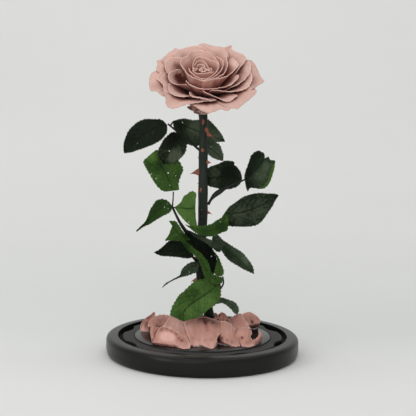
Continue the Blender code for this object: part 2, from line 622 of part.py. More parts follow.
def leaf_point(base, middle, tip, left, right, powers, facing, fold, across, along):
    """Point of a leaflet: across runs -1 to 1, left to right, and along 0 to 1, base to tip."""
    base, middle, tip = Vector(base), Vector(middle), Vector(tip)
    midrib = (base * (1 - along) * (1 - 2 * along) + middle * 4 * along * (1 - along)
              + tip * along * (2 * along - 1))
    forward = base * (4 * along - 3) + middle * (4 - 8 * along) + tip * (4 * along - 1)
    side = (tip - base).cross(Vector(facing)).normalized()
    upper = side.cross(forward).normalized()
    root, end = powers
    widest = root / (root + end)
    outline = (along / widest) ** root * ((1 - along) / (1 - widest)) ** end
    half = max((left if across < 0 else right) * outline, LEAF_TIP_WIDTH)
    raise_angle = math.radians(fold)
    return (midrib + side * across * half * math.cos(raise_angle)
            + upper * abs(across) * half * math.sin(raise_angle))


def make_leaflets(group):
    colour = paint("leaf", (0.022, 0.05, 0.012), 0.6)
    for name, shape in LEAFLETS.items():

        def place(column, row):
            along = (1 - math.cos(math.pi * row / LEAF_ROWS)) / 2
            return leaf_point(*shape, 2 * column / LEAF_COLUMNS - 1, along)

        sheet(name, LEAF_COLUMNS, LEAF_ROWS, place, LEAF_THICKNESS, group, colour)


def fallen_point(points, across, along):
    """A quadratic sheet through the five points, its outline round: across and along run -1 to 1."""
    middle, right, back, left, front = (Vector(point) for point in points)
    s = across * math.sqrt(1 - along ** 2 / 2)
    t = along * math.sqrt(1 - across ** 2 / 2)
    point = (middle + s * (right - left) / 2 + s ** 2 * ((right + left) / 2 - middle)
             + t * (back - front) / 2 + t ** 2 * ((back + front) / 2 - middle))
    point.z = max(point.z, FALLEN_PETAL_LOWEST)
    return point


def make_fallen_petals(group):
    colour = paint("fallen_petal", (0.74, 0.27, 0.18), 0.75)
    cells = FALLEN_PETAL_CELLS
    for name, points in FALLEN_PETALS.items():
        sheet(name, cells, cells,
              lambda column, row: fallen_point(points, 2 * column / cells - 1, 2 * row / cells - 1),
              FALLEN_PETAL_THICKNESS, group, colour)


def main():
    clear_scene()
    parts = new_collection("preserved_rose")
    cutters = new_collection("cutters")
    make_base(parts, cutters)
    make_stem(parts, cutters)
    make_stalks(parts, cutters)
    make_leaflets(parts)
    make_petals(parts)
    make_heart(parts)
    make_fallen_petals(parts)


main()
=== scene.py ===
# %% [markdown]
# A preserved rose on a lacquered base
#
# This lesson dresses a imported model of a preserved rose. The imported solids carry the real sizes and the
# collisions; here each of them gets the fine shape and the finish that the eye expects. Lengths are in
# millimetres until the last moment, because a rose is easier to think about that way.

# %% Load the frame
import math

import bpy
import numpy as np
from mathutils import Matrix, Vector
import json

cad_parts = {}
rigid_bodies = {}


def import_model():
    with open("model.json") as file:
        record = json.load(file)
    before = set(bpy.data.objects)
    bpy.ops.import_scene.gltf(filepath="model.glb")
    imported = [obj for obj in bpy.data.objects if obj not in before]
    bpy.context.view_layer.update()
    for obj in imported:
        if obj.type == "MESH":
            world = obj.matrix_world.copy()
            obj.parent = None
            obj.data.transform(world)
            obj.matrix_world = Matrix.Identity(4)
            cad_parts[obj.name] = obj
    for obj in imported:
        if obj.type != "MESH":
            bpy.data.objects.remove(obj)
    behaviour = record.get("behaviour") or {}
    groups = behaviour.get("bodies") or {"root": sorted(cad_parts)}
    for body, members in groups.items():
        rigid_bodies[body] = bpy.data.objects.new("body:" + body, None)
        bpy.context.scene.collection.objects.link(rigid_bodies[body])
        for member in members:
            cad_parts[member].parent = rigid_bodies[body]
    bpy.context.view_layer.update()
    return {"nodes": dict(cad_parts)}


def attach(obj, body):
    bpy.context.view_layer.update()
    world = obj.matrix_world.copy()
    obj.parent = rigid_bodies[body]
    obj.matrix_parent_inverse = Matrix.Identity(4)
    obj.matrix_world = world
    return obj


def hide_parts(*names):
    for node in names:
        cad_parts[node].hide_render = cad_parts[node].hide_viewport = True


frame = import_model()
MM = 0.001
print("solids in the frame:", len(frame["nodes"]))

# %% [markdown]
# The camera comes first, because several shapes below are drawn through it: an outline that is read off the
# photograph is a list of pixels, and a line of sight through each of them says where the edge can be. The
# picture is 416 pixels wide. Place and tilt were fitted to the round outlines of the base, whose size is known.

# %% Camera
PICTURE = 416
FOCAL_PIXELS = 1487.9
SENSOR_MM = 36.0
EYE = np.array((0.0, -1360.8, 347.46))
PITCH_DOWN = math.radians(8.72)
YAW = math.radians(0.13)
ROLL = math.radians(1.02)

forward = np.array((math.sin(YAW) * math.cos(PITCH_DOWN), math.cos(YAW) * math.cos(PITCH_DOWN),
                    -math.sin(PITCH_DOWN)))
level_right = np.array((math.cos(YAW), -math.sin(YAW), 0.0))
level_up = np.cross(level_right, forward)
right = math.cos(ROLL) * level_right + math.sin(ROLL) * level_up
up = math.cos(ROLL) * level_up - math.sin(ROLL) * level_right

camera_data = bpy.data.cameras.new("camera")
camera_data.sensor_width = SENSOR_MM
camera_data.lens = FOCAL_PIXELS / PICTURE * SENSOR_MM
camera = bpy.data.objects.new("camera", camera_data)
bpy.context.scene.collection.objects.link(camera)
turn = Matrix((right, up, -forward)).transposed()
camera.matrix_world = Matrix.Translation(Vector(EYE) * MM) @ turn.to_4x4()
bpy.context.scene.camera = camera
print("lens", round(camera_data.lens, 1), "mm")

# %% [markdown]
# A pixel alone doesn't say how far away a thing is, so each helper adds one fact: the depth of an upright
# plane, or a plane through a point. The last helper goes the other way, from a point to its pixel.

# %% Lines of sight
def sight(pixels):
    """Directions of the lines of sight through (x, y) pixels."""
    pixels = np.asarray(pixels, float)
    across = (pixels[..., :1] - PICTURE / 2) / FOCAL_PIXELS
    down = (pixels[..., 1:2] - PICTURE / 2) / FOCAL_PIXELS
    return forward + across * right - down * up


def at_depth(pixels, depth):
    """Points seen at those pixels on the upright plane y = depth."""
    rays = sight(pixels)
    return EYE + rays * ((np.asarray(depth, float)[..., None] - EYE[1]) / rays[..., 1:2])


def on_plane(pixels, point, normal):
    """Points seen at those pixels on the plane through a point."""
    rays = sight(pixels)
    return EYE + rays * (((point - EYE) @ normal) / (rays @ normal))[..., None]


def seen(points):
    """Pixels at which the points are seen."""
    away = points - EYE
    scale = FOCAL_PIXELS / (away @ forward)
    return np.stack((PICTURE / 2 + scale * (away @ right), PICTURE / 2 - scale * (away @ up)), -1)


print("the base's middle is seen at", seen(np.zeros((1, 3))).round(1)[0])

# %% [markdown]
# Petals, leaves and stems are soft curves, each given by a few points. A spline object could join them; a short
# cubic formula does the same on plain arrays, whose result can be bent further before it becomes a mesh.

# %% Smooth curves
def hermite(knots, values, wanted):
    """Cubic curve through values at knots, its slopes taken from the neighbours."""
    slopes = np.gradient(values, knots, axis=0)
    first = np.clip(np.searchsorted(knots, wanted, side="right") - 1, 0, len(knots) - 2)
    span = knots[first + 1] - knots[first]
    t = (wanted - knots[first]) / span
    if values.ndim > 1:
        t, span = t[..., None], span[..., None]
    return ((2 * t ** 3 - 3 * t ** 2 + 1) * values[first] + (t ** 3 - 2 * t ** 2 + t) * span * slopes[first]
            + (3 * t ** 2 - 2 * t ** 3) * values[first + 1] + (t ** 3 - t ** 2) * span * slopes[first + 1])


def smooth_curve(points, count):
    """Evenly spaced points on a smooth curve through the given ones."""
    points = np.array(points, float)
    steps = np.linalg.norm(np.diff(points, axis=0), axis=1)
    knots = np.concatenate(([0.0], np.cumsum(steps)))
    return hermite(knots, points, np.linspace(0.0, knots[-1], count))


def smooth_step(low, high, value):
    """Rises softly from 0 at low to 1 at high."""
    t = np.clip((value - low) / (high - low), 0.0, 1.0)
    return t * t * (3 - 2 * t)


print("a quarter of the way up a smooth step:", smooth_step(0.0, 1.0, 0.25))

# %% [markdown]
# Petals, leaves, stems and the base are all grids of points that bend. One helper turns any such grid into a
# mesh with its own UV map. It can also store a number called shade at every point, for the materials to read.

# %% Grids of points
def grid_object(name, points, material, closed=False, skip=None, shade=None, rise=None):
    """A mesh from a (rows, columns, 3) grid of millimetre points. Its UVs run 0 to 1, upwards by rise if given."""
    rows, columns = points.shape[:2]
    faces, corners = [], []
    last = columns if closed else columns - 1
    for row in range(rows - 1):
        for column in range(last):
            if skip is not None and skip[row, column]:
                continue
            after = (column + 1) % columns
            faces.append((row * columns + column, row * columns + after,
                          (row + 1) * columns + after, (row + 1) * columns + column))
            corners.append(((column, row), (column + 1, row), (column + 1, row + 1), (column, row + 1)))
    mesh = bpy.data.meshes.new(name)
    mesh.from_pydata((points.reshape(-1, 3) * MM).tolist(), [], faces)
    layer = mesh.uv_layers.new(name="UVMap")
    flat = np.array(corners, float).reshape(-1, 2) / (last, rows - 1)
    if rise is not None:
        flat[:, 1] = rise.ravel()[np.array(faces).ravel()]
    layer.data.foreach_set("uv", flat.ravel())
    if shade is not None:
        tint = mesh.attributes.new("shade", "FLOAT", "POINT")
        tint.data.foreach_set("value", np.asarray(shade, np.float32).ravel())
    mesh.shade_smooth()
    mesh.materials.append(material)
    piece = bpy.data.objects.new(name, mesh)
    bpy.context.scene.collection.objects.link(piece)
    return piece


def painted(points, patches, ground=0.0):
    """Painted light and shade at the points: soft round patches of (pixel x, pixel y, size, amount) on an even ground.
    """
    place = seen(points)
    shade = np.full(points.shape[:2], ground)
    for x, y, size, amount in patches:
        shade += amount * np.exp(-((place[..., 0] - x) ** 2 + (place[..., 1] - y) ** 2) / size ** 2)
    return shade


# %% [markdown]
# The Solidify modifier gives each petal and leaf the small thickness of the real thing, and is then applied, so
# that the finished sheet is a closed solid. The last helper hands a piece over to the frame.

# %% Thickness and place in the frame
def bake_modifiers(piece):
    """Replaces the piece's mesh by what its modifiers make of it."""
    bpy.context.view_layer.update()
    result = bpy.data.meshes.new_from_object(piece.evaluated_get(bpy.context.evaluated_depsgraph_get()))
    result.name = piece.name
    piece.modifiers.clear()
    piece.data = result
    return piece


def thicken(piece, thickness):
    """Gives a sheet its thickness in millimetres, half to each side."""
    solidify = piece.modifiers.new("Thickness", "SOLIDIFY")
    solidify.thickness = thickness * MM
    solidify.offset = 0.0
    return bake_modifiers(piece)


def settle(piece, slot, *nodes):
    """The piece stands on the root body and stands for CAD nodes, which it hides. Its slot is not used."""
    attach(piece, "root")
    if nodes:
        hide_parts(*nodes)
    return piece


# %% [markdown]
# Materials are built from nodes, so they load no pictures and stay sharp at any distance. Each starts from one
# Principled shader, and a few short helpers take up the steps that come back in every finish.

# %% Material nodes
def new_material(name, roughness, **sockets):
    """A Principled material. Keyword names are socket names with underscores for spaces."""
    material = bpy.data.materials.new(name)
    material.use_nodes = True
    shader = material.node_tree.nodes["Principled BSDF"]
    shader.inputs["Roughness"].default_value = roughness
    for socket, value in sockets.items():
        shader.inputs[socket.replace("_", " ")].default_value = value
    return material, material.node_tree, shader


def node(tree, kind, inputs=None, **settings):
    """A shader node; an input may be another node's output or a plain value."""
    made = tree.nodes.new("ShaderNode" + kind)
    for setting, value in settings.items():
        setattr(made, setting, value)
    for socket, value in (inputs or {}).items():
        if isinstance(value, bpy.types.NodeSocket):
            tree.links.new(value, made.inputs[socket])
        else:
            made.inputs[socket].default_value = value
    return made


def ramp(tree, factor, *stops):
    """A colour ramp through (position, colour) stops."""
    made = node(tree, "ValToRGB", {"Fac": factor})
    band = made.color_ramp
    while len(band.elements) < len(stops):
        band.elements.new(1.0)
    for element, (position, colour) in zip(band.elements, stops):
        element.position = position
        element.color = (*colour, 1.0)
    return made.outputs["Color"]


def mix(tree, factor, first, second, blend="MIX"):
    """Two colours, mixed by a factor."""
    made = node(tree, "Mix", data_type="RGBA", blend_type=blend)
    for index, value in ((0, factor), (6, first), (7, second)):
        if isinstance(value, bpy.types.NodeSocket):
            tree.links.new(value, made.inputs[index])
        else:
            made.inputs[index].default_value = value if index == 0 else (*value, 1.0)
    return made.outputs[2]


def maths(tree, operation, first, second=0.0):
    """A sum on numbers that differ from place to place."""
    return node(tree, "Math", {0: first, 1: second}, operation=operation).outputs[0]


def stretch_range(tree, value, low, high, new_low=0.0, new_high=1.0):
    """Values from low to high, spread from new_low to new_high."""
    return node(tree, "MapRange", {"Value": value, "From Min": low, "From Max": high, "To Min": new_low,
                                   "To Max": new_high}).outputs[0]


# %% [markdown]
# Nothing real has one flat colour. Noise breaks up every surface at two scales: a slow cloud for the tone and
# a fine grain for the relief. Drawn out along one direction, the same noise makes veins, bark and streaks.

# %% Noise and relief
EVEN = (1.0, 1.0, 1.0)
WHITE = (1.0, 1.0, 1.0)


def noise(tree, place, scale, detail=4.0, stretch=EVEN):
    """Noise between 0 and 1, drawn out along a direction by a small number in stretch."""
    mapping = node(tree, "Mapping", {"Vector": place, "Scale": stretch})
    return node(tree, "TexNoise", {"Vector": mapping.outputs[0], "Scale": scale, "Detail": detail}).outputs["Fac"]


def object_place(tree):
    """The place on the object, in metres."""
    return node(tree, "TexCoord").outputs["Object"]


def add_bump(tree, shader, height, strength, distance):
    """Fine relief; its distance is in metres."""
    bump = node(tree, "Bump", {"Height": height, "Strength": strength, "Distance": distance})
    tree.links.new(bump.outputs[0], shader.inputs["Normal"])


def cloudy_colour(tree, shader, cloud, low, high):
    """Colours the shader by a cloud, from one (position, colour) stop to another."""
    tree.links.new(ramp(tree, cloud, low, high), shader.inputs["Base Color"])


# %% [markdown]
# The base is a low round body, lacquered black, with a raised lip. A groove runs inside the lip, and a
# shallow seat in the groove's floor would take the rim of a round cover. The recess holds a dull ring with
# eight round notches and, inside that, a flat polished disc. The sizes come first, all in one place.

# %% Base sizes
BASE_RADIUS = 90.0
BASE_HEIGHT = 18.5
RECESS_FLOOR = 13.5
LIP_INNER_RADIUS = 79.0
SEAT_INNER_RADIUS = 75.0
SEAT_OUTER_RADIUS = 78.8
SEAT_FLOOR = 13.0
RING_OUTER_RADIUS = 74.4
RING_INNER_RADIUS = 63.8
RING_TOP = 17.3
DISC_RADIUS = 63.3
DISC_TOP = 18.2
GAP = 0.3
GROOVE_WIDTH = LIP_INNER_RADIUS - RING_OUTER_RADIUS
print("base", 2 * BASE_RADIUS, "mm across, groove", round(GROOVE_WIDTH, 1), "mm wide")

# %% [markdown]
# All three pieces are turned on a lathe in the real world, so each is a profile swept round the axis. The
# Screw modifier could do it, but a grid lets the radius vary with the angle, which the notches need. Corners
# are rounded with short arcs, because a true edge catches a thin line of light.

# %% Turning
TURNS = 256


def rounded(profile, radius, steps=4):
    """Rounds the inner corners of a (radius, height) profile with short arcs."""
    points = [np.array(profile[0], float)]
    for before, corner, after in zip(profile, profile[1:], profile[2:]):
        before, corner, after = (np.array(point, float) for point in (before, corner, after))
        reach = min(radius, np.linalg.norm(before - corner) / 2.2, np.linalg.norm(after - corner) / 2.2)
        start = corner + reach * (before - corner) / np.linalg.norm(before - corner)
        end = corner + reach * (after - corner) / np.linalg.norm(after - corner)
        for t in np.linspace(0.0, 1.0, steps):
            points.append((1 - t) ** 2 * start + 2 * t * (1 - t) * corner + t ** 2 * end)
    points.append(np.array(profile[-1], float))
    return np.array(points)


def lathe(name, profile, material, radii=None, turns=TURNS):
    """A profile of (radius, height) swept round the upright axis; radii(profile radius, angle) may vary it."""
    angles = np.radians(np.arange(turns) * 360.0 / turns)
    radius = np.repeat(profile[:, :1], turns, axis=1)
    if radii is not None:
        radius = radii(radius, np.degrees(angles)[None, :])
    height = np.repeat(profile[:, 1:], turns, axis=1)
    points = np.stack((radius * np.cos(angles), radius * np.sin(angles), height), -1)
    return grid_object(name, points, material, closed=True)


# %% [markdown]
# The body's lacquer has a satin gloss with a very fine grain. In the groove its specular level drops, by the distance
# from the axis, so that the groove reads nearly black: painted shade in the deep recess. That needs no second material.

# %% Lacquer
FLATTEN = (1.0, 1.0, 0.0)
lacquer, tree, shader = new_material("black_lacquer", 0.3)
place = object_place(tree)
cloudy_colour(tree, shader, noise(tree, place, 30.0), (0.3, (0.0065, 0.0062, 0.006)), (0.7, (0.009, 0.0086, 0.0083)))
add_bump(tree, shader, noise(tree, place, 900.0, 2.0), 0.08, 0.0002)
flat_place = node(tree, "VectorMath", {0: place, 1: FLATTEN}, operation="MULTIPLY").outputs[0]
from_axis = node(tree, "VectorMath", {0: flat_place}, operation="LENGTH").outputs["Value"]
# The groove's specular level is turned down here: painted shade in the recess.
groove_shade_specular = stretch_range(tree, from_axis, 0.0788, 0.0793, 0.02, 0.2)
tree.links.new(groove_shade_specular, shader.inputs["Specular IOR Level"])
print("finish of the body:", lacquer.name)

# %% [markdown]
# The ring is a dull black with a coarse grain, and the disc is polished but a little hazy, so it shows the
# petals that lie on it only as a soft dark mirror image. Both differ from the lacquer mostly by roughness.

# %% Ring and disc finishes
dull_black, tree, shader = new_material("dull_black", 0.7, Specular_IOR_Level=0.45)
place = object_place(tree)
cloudy_colour(tree, shader, noise(tree, place, 60.0), (0.3, (0.018, 0.0175, 0.0175)), (0.7, (0.023, 0.0225, 0.022)))
add_bump(tree, shader, noise(tree, place, 700.0), 0.12, 0.0002)

polished_black, tree, shader = new_material("polished_black", 0.22, Specular_IOR_Level=0.2)
smear = noise(tree, object_place(tree), 45.0)
cloudy_colour(tree, shader, smear, (0.35, (0.008, 0.008, 0.009)), (0.65, (0.013, 0.012, 0.012)))
add_bump(tree, shader, smear, 0.015, 0.0005)
print("finishes inside the lip:", dull_black.name, "and", polished_black.name)

# %% [markdown]
# The body's profile runs from the middle of the recess over the seat, the groove and the lip, down the outer
# side and back under the base. It is one closed line, so the sweep is a closed solid.

# %% Base body
ON_AXIS = 0.01
body_profile = rounded(
    ((ON_AXIS, RECESS_FLOOR), (SEAT_INNER_RADIUS, RECESS_FLOOR), (SEAT_INNER_RADIUS, SEAT_FLOOR),
     (SEAT_OUTER_RADIUS, SEAT_FLOOR), (LIP_INNER_RADIUS, BASE_HEIGHT - 0.2), (LIP_INNER_RADIUS + 0.2, BASE_HEIGHT),
     (LIP_INNER_RADIUS + 3.0, BASE_HEIGHT - 0.1), (BASE_RADIUS - 3.2, BASE_HEIGHT - 0.4),
     (BASE_RADIUS - 0.7, BASE_HEIGHT - 1.7), (BASE_RADIUS, BASE_HEIGHT - 4.2), (BASE_RADIUS, BASE_HEIGHT / 3),
     (BASE_RADIUS - 0.8, 2.4), (BASE_RADIUS - 2.8, 0.0), (ON_AXIS, 0.0)), 1.6, 6)
settle(lathe("turned_body", body_profile, lacquer), "base_body", "base_body")
print("body profile:", len(body_profile), "points")

# %% [markdown]
# The ring is the same kind of sweep with its outer radius pulled in where a notch's circle bites into the edge.
# Boolean cuts would leave long thin faces. The sweep has more steps than the body's, so the bites stay round.

# %% Notched ring
NOTCH_COUNT = 8
FIRST_NOTCH_ANGLE = -17.75
NOTCH_RADIUS = 24.0
NOTCH_CENTRE_RADIUS = 94.0
NOTCH_SOFTNESS = 0.2
RING_TURNS = 640


def notched(radius, angle):
    """The ring's radius, pulled in where a notch's circle cuts its outer edge."""
    step = 360.0 / NOTCH_COUNT
    away = np.radians((angle - FIRST_NOTCH_ANGLE + step / 2) % step - step / 2)
    inside = np.clip(NOTCH_RADIUS ** 2 - (NOTCH_CENTRE_RADIUS * np.sin(away)) ** 2, 0.0, None)
    edge = np.where(inside > 0, NOTCH_CENTRE_RADIUS * np.cos(away) - np.sqrt(inside), RING_OUTER_RADIUS + 3.0)
    short = RING_OUTER_RADIUS - edge
    pull = (short + np.sqrt(short ** 2 + NOTCH_SOFTNESS ** 2)) / 2
    return radius - pull * (radius > (RING_INNER_RADIUS + RING_OUTER_RADIUS) / 2)


floor_height = RECESS_FLOOR + GAP
ring_profile = rounded(
    ((RING_INNER_RADIUS, floor_height), (RING_INNER_RADIUS, RING_TOP), (RING_OUTER_RADIUS, RING_TOP),
     (RING_OUTER_RADIUS, floor_height)), 0.3)
ring_profile = np.vstack((ring_profile, ring_profile[:1]))
settle(lathe("notched_ring", ring_profile, dull_black, notched, RING_TURNS), "ring", "ring")
print("notches:", NOTCH_COUNT)

# %% [markdown]
# The disc has a hole that the stem stands in, away from its middle. A sweep can't have a hole off its axis,
# so this sweep runs from the hole's edge to the disc's edge: each column of the grid is a straight spoke from
# one circle to the other.

# %% Disc
FOOT = (8.0, 6.0)
FOOT_HOLE_RADIUS = 6.6
DISC_DEPTH = DISC_TOP - floor_height
# share of the way along a spoke, drop below the top
DISC_SECTION = ((0.0, DISC_DEPTH), (0.0, 0.3), (0.006, 0.0), (0.25, 0.0), (0.5, 0.0), (0.75, 0.0), (0.986, 0.0),
                (0.996, 0.2), (1.0, 0.7), (1.0, DISC_DEPTH))
angles = np.radians(np.arange(TURNS) * 360.0 / TURNS)
spoke = np.stack((np.cos(angles), np.sin(angles)), -1)
disc_rows = []
for share, drop in DISC_SECTION:
    inner = np.array(FOOT) + FOOT_HOLE_RADIUS * spoke
    outer = DISC_RADIUS * spoke
    flat = inner + (outer - inner) * share
    disc_rows.append(np.column_stack((flat, np.full(TURNS, DISC_TOP - drop))))
disc_rows.append(disc_rows[0])
settle(grid_object("polished_disc", np.array(disc_rows), polished_black, closed=True), "disc", "disc")
print("hole for the stem:", 2 * FOOT_HOLE_RADIUS, "mm across")

# %% [markdown]
# The bloom is built in its own tilted frame, because the rose leans towards the viewer. Every petal grows from
# one receptacle, so radii and heights in this frame are easy to think about.

# %% Bloom frame
RECEPTACLE = np.array((-3.7, 7.7, 234.8))
LEAN = math.radians(34.5)
BLOOM_DEPTH = 40.0
CANOPY_DROP = 9.7
CANOPY_RADIUS = 50.5
SIDE_DRIFT = 2.7


def from_bloom(x, y, z):
    """Points of the bloom's own frame, in the part's frame."""
    local = np.stack((x, y * math.cos(LEAN) - z * math.sin(LEAN), y * math.sin(LEAN) + z * math.cos(LEAN)), -1)
    return RECEPTACLE + local


def bloom_point(radius, degrees, height):
    """The same from a radius and an angle; wide petals drift a little to the right."""
    angle = np.radians(degrees)
    drift = SIDE_DRIFT * radius / CANOPY_RADIUS
    return from_bloom(radius * np.cos(angle) + drift, radius * np.sin(angle), height)


def canopy(radius):
    """Height of the bloom's outer skin, which all rims touch: a shallow dome."""
    return BLOOM_DEPTH - CANOPY_DROP * (radius / CANOPY_RADIUS) ** 2


print("the bloom leans by", round(math.degrees(LEAN), 1), "degrees")

# %% [markdown]
# A petal rises from the receptacle and leans out to its rim, and the rim is what the eye reads. So each petal
# is given by the plan of its rim, and its section from foot to rim is one cubic curve with a handle at either
# end. Wide rims lie flat and narrow ones stand up, which is how the whorls of a real rose open.

# %% Petal section
FOOT_HANDLE = 0.52
TOP_HANDLE = 0.36
UPRIGHT_RIM_RADIUS = 13.0
FLAT_RIM_RADIUS = 50.0
UPRIGHT_DEGREES = 88.0


def foot_lean(rim):
    """How steeply a petal leaves the foot, in radians, by the radius of its rim."""
    return np.radians(62.0 + 16.0 * smooth_step(16.0, 30.0, rim) - 0.7 * np.clip(rim - 30.0, 0.0, None))


def top_lean(rim):
    """How steeply it arrives at its rim."""
    share = np.clip((rim - UPRIGHT_RIM_RADIUS) / (FLAT_RIM_RADIUS - UPRIGHT_RIM_RADIUS), 0.0, None)
    return np.radians(UPRIGHT_DEGREES - UPRIGHT_DEGREES * share ** 1.45)


def petal_section(rim, level, v, lift):
    """Radius and height of the section at v, with the directions that the curve has there."""
    foot = np.stack((3.6 + 0.10 * rim + 0.12 * level, 9.0 - 0.13 * rim - 0.16 * level), -1)
    top = np.stack((rim, canopy(rim) + lift), -1)
    foot_angle, top_angle = foot_lean(rim), top_lean(rim)
    reach = np.linalg.norm(top - foot, axis=-1)[..., None]
    lower = foot + FOOT_HANDLE * reach * np.stack((np.cos(foot_angle), np.sin(foot_angle)), -1)
    upper = top - TOP_HANDLE * reach * np.stack((np.cos(top_angle), np.sin(top_angle)), -1)
    v = v[..., None]
    curve = ((1 - v) ** 3 * foot + 3 * (1 - v) ** 2 * v * lower + 3 * (1 - v) * v ** 2 * upper + v ** 3 * top)
    slope = ((1 - v) ** 2 * (lower - foot) + 2 * (1 - v) * v * (upper - lower) + v ** 2 * (top - upper))
    return curve, slope / np.linalg.norm(slope, axis=-1)[..., None]


for rim_radius in (15.0, 30.0, 45.0):
    print("a rim", rim_radius, "mm out leans by", round(float(np.degrees(top_lean(rim_radius))), 1), "degrees")

# %% [markdown]
# No real petal is smooth. Its rim rolls outwards by a millimetre or two, which catches the light; a painted highlight
# on the lip, in the material, adds to the pale line along every edge. It also ruffles gently and has a slightly ragged
# outline. All of these are added across the section: the roll along its outward normal close to the rim, and the
# ruffle as a few waves that fade towards the foot. The waves are sines with seeded phases, so each run makes the same
# rose.

# %% Ruffles
ROLL_OUT = 1.5
ROLL_START = 0.8
ROLL_SHARE = 0.85
RAGGED = 0.42
RUFFLE_WAVES = 5


def ruffle(seed, degrees, fineness):
    """Waves round the rim, made from a few sines whose phases come from a seed."""
    dice = np.random.default_rng(seed)
    total = np.zeros_like(degrees, float)
    for index in range(RUFFLE_WAVES):
        phase = dice.uniform(0, 6.28)
        total += np.sin(np.radians(degrees) * fineness * (1 + 0.55 * index) + phase) / (1 + 0.5 * index)
    return total / 2.2


print("ruffle waves:", RUFFLE_WAVES)

# %% [markdown]
# The builder lays a grid over the petal: columns round the rim, rows from foot to rim, closer together near
# the rim where it rolls. The columns draw together at the narrow foot, and the two ends of the rim sink to
# shoulders, so that a petal slips behind its neighbours and shows no square corner.

# %% Petal builder
PETAL_ROWS = 30
PETAL_STEP = 0.9
FEWEST_COLUMNS, MOST_COLUMNS = 28, 110
PETAL_THICKNESS = 0.42
FOOT_NARROWING = 0.62
SHOULDER_FOOT, SHOULDER_TOP, SHOULDER_DEGREES = 0.58, 0.95, 4


def petal(name, rim, level, material, seed, roll=ROLL_OUT, start=0.0, wave=0.35, patches=()):
    """A petal from its rim plan. The first and last rim points are shoulders, sunk behind the neighbours."""
    own = np.array(rim, float)
    first, last = own[0, 0], own[-1, 0]
    mean_radius = own[:, 1].mean()
    columns = int(max(FEWEST_COLUMNS, min(MOST_COLUMNS, (last - first) * math.radians(mean_radius) / PETAL_STEP)))
    degrees = np.linspace(first, last, columns)
    shoulder = np.interp(degrees, [first, own[1, 0], own[1, 0] + SHOULDER_DEGREES, own[-2, 0] - SHOULDER_DEGREES,
                                   own[-2, 0], last],
                         [SHOULDER_FOOT, SHOULDER_TOP, 1.0, 1.0, SHOULDER_TOP, SHOULDER_FOOT])
    rows = 1 - (1 - np.linspace(start, 1.0, PETAL_ROWS)) ** 1.35
    v = rows[:, None] * shoulder[None, :]
    middle = (first + last) / 2
    spread = FOOT_NARROWING + (1 - FOOT_NARROWING) * (1 - (1 - v) ** 3)
    turned_angle = middle + (degrees[None, :] - middle) * spread
    radius = hermite(own[:, 0], own[:, 1], turned_angle)

    near_rim = smooth_step(ROLL_START, 1.0, rows)[:, None] ** 1.5
    ragged = ruffle(seed + 31, turned_angle, 1.6 * mean_radius) * near_rim
    inward = ROLL_SHARE * roll * np.clip(np.sin(top_lean(radius)), 0.0, 1.0)
    lift = ROLL_SHARE * roll * np.cos(top_lean(radius))
    curve, slope = petal_section(radius - inward + RAGGED * ragged, level, v, lift)
    outward = np.stack((slope[..., 1], -slope[..., 0]), -1)
    waves = ruffle(seed, turned_angle, 0.3 * mean_radius)
    fine = ruffle(seed + 77, turned_angle, 0.8 * mean_radius)
    offset = (roll * near_rim + wave * waves * smooth_step(0.35, 1.0, v) + 0.12 * fine * smooth_step(0.6, 1.0, v))
    section = curve + outward * offset[..., None]
    points = bloom_point(section[..., 0], turned_angle, section[..., 1])
    return thicken(grid_object(name, points, material, shade=painted(points, patches), rise=v), PETAL_THICKNESS)


print("each petal has", PETAL_ROWS, "rows from foot to rim")

# %% [markdown]
# A preserved petal is soft and matt, like fine suede. The colour is a dusty rose with faint veins that run from foot
# to rim. It deepens to a warm red-brown towards the foot, deep in the bloom: partly a real petal's deeper colour
# there, mostly painted shade. Its very edge, the lip, is paler: partly a paler edge, partly a painted highlight. A
# little subsurface light softens the folds.
#
# An Ambient Occlusion node finds the hollows between petals and darkens them red-brown: painted shade, tinted as
# light is that has bounced from petal to petal. The painted shade pales the petal where it is positive, as painted
# light; where it is negative, it browns it in blotches, as painted shade in deep folds and gaps, and for the dark
# spot of one fallen petal.

# %% Petal material
HOLLOW_REACH = 0.012
HOLLOW_SHADE_TINT = (0.52, 0.29, 0.25)
SHADE_BROWN = (0.09, 0.022, 0.015)


def multiplied(tree, first, second):
    """Two colours, multiplied."""
    return mix(tree, 1.0, first, second, "MULTIPLY")


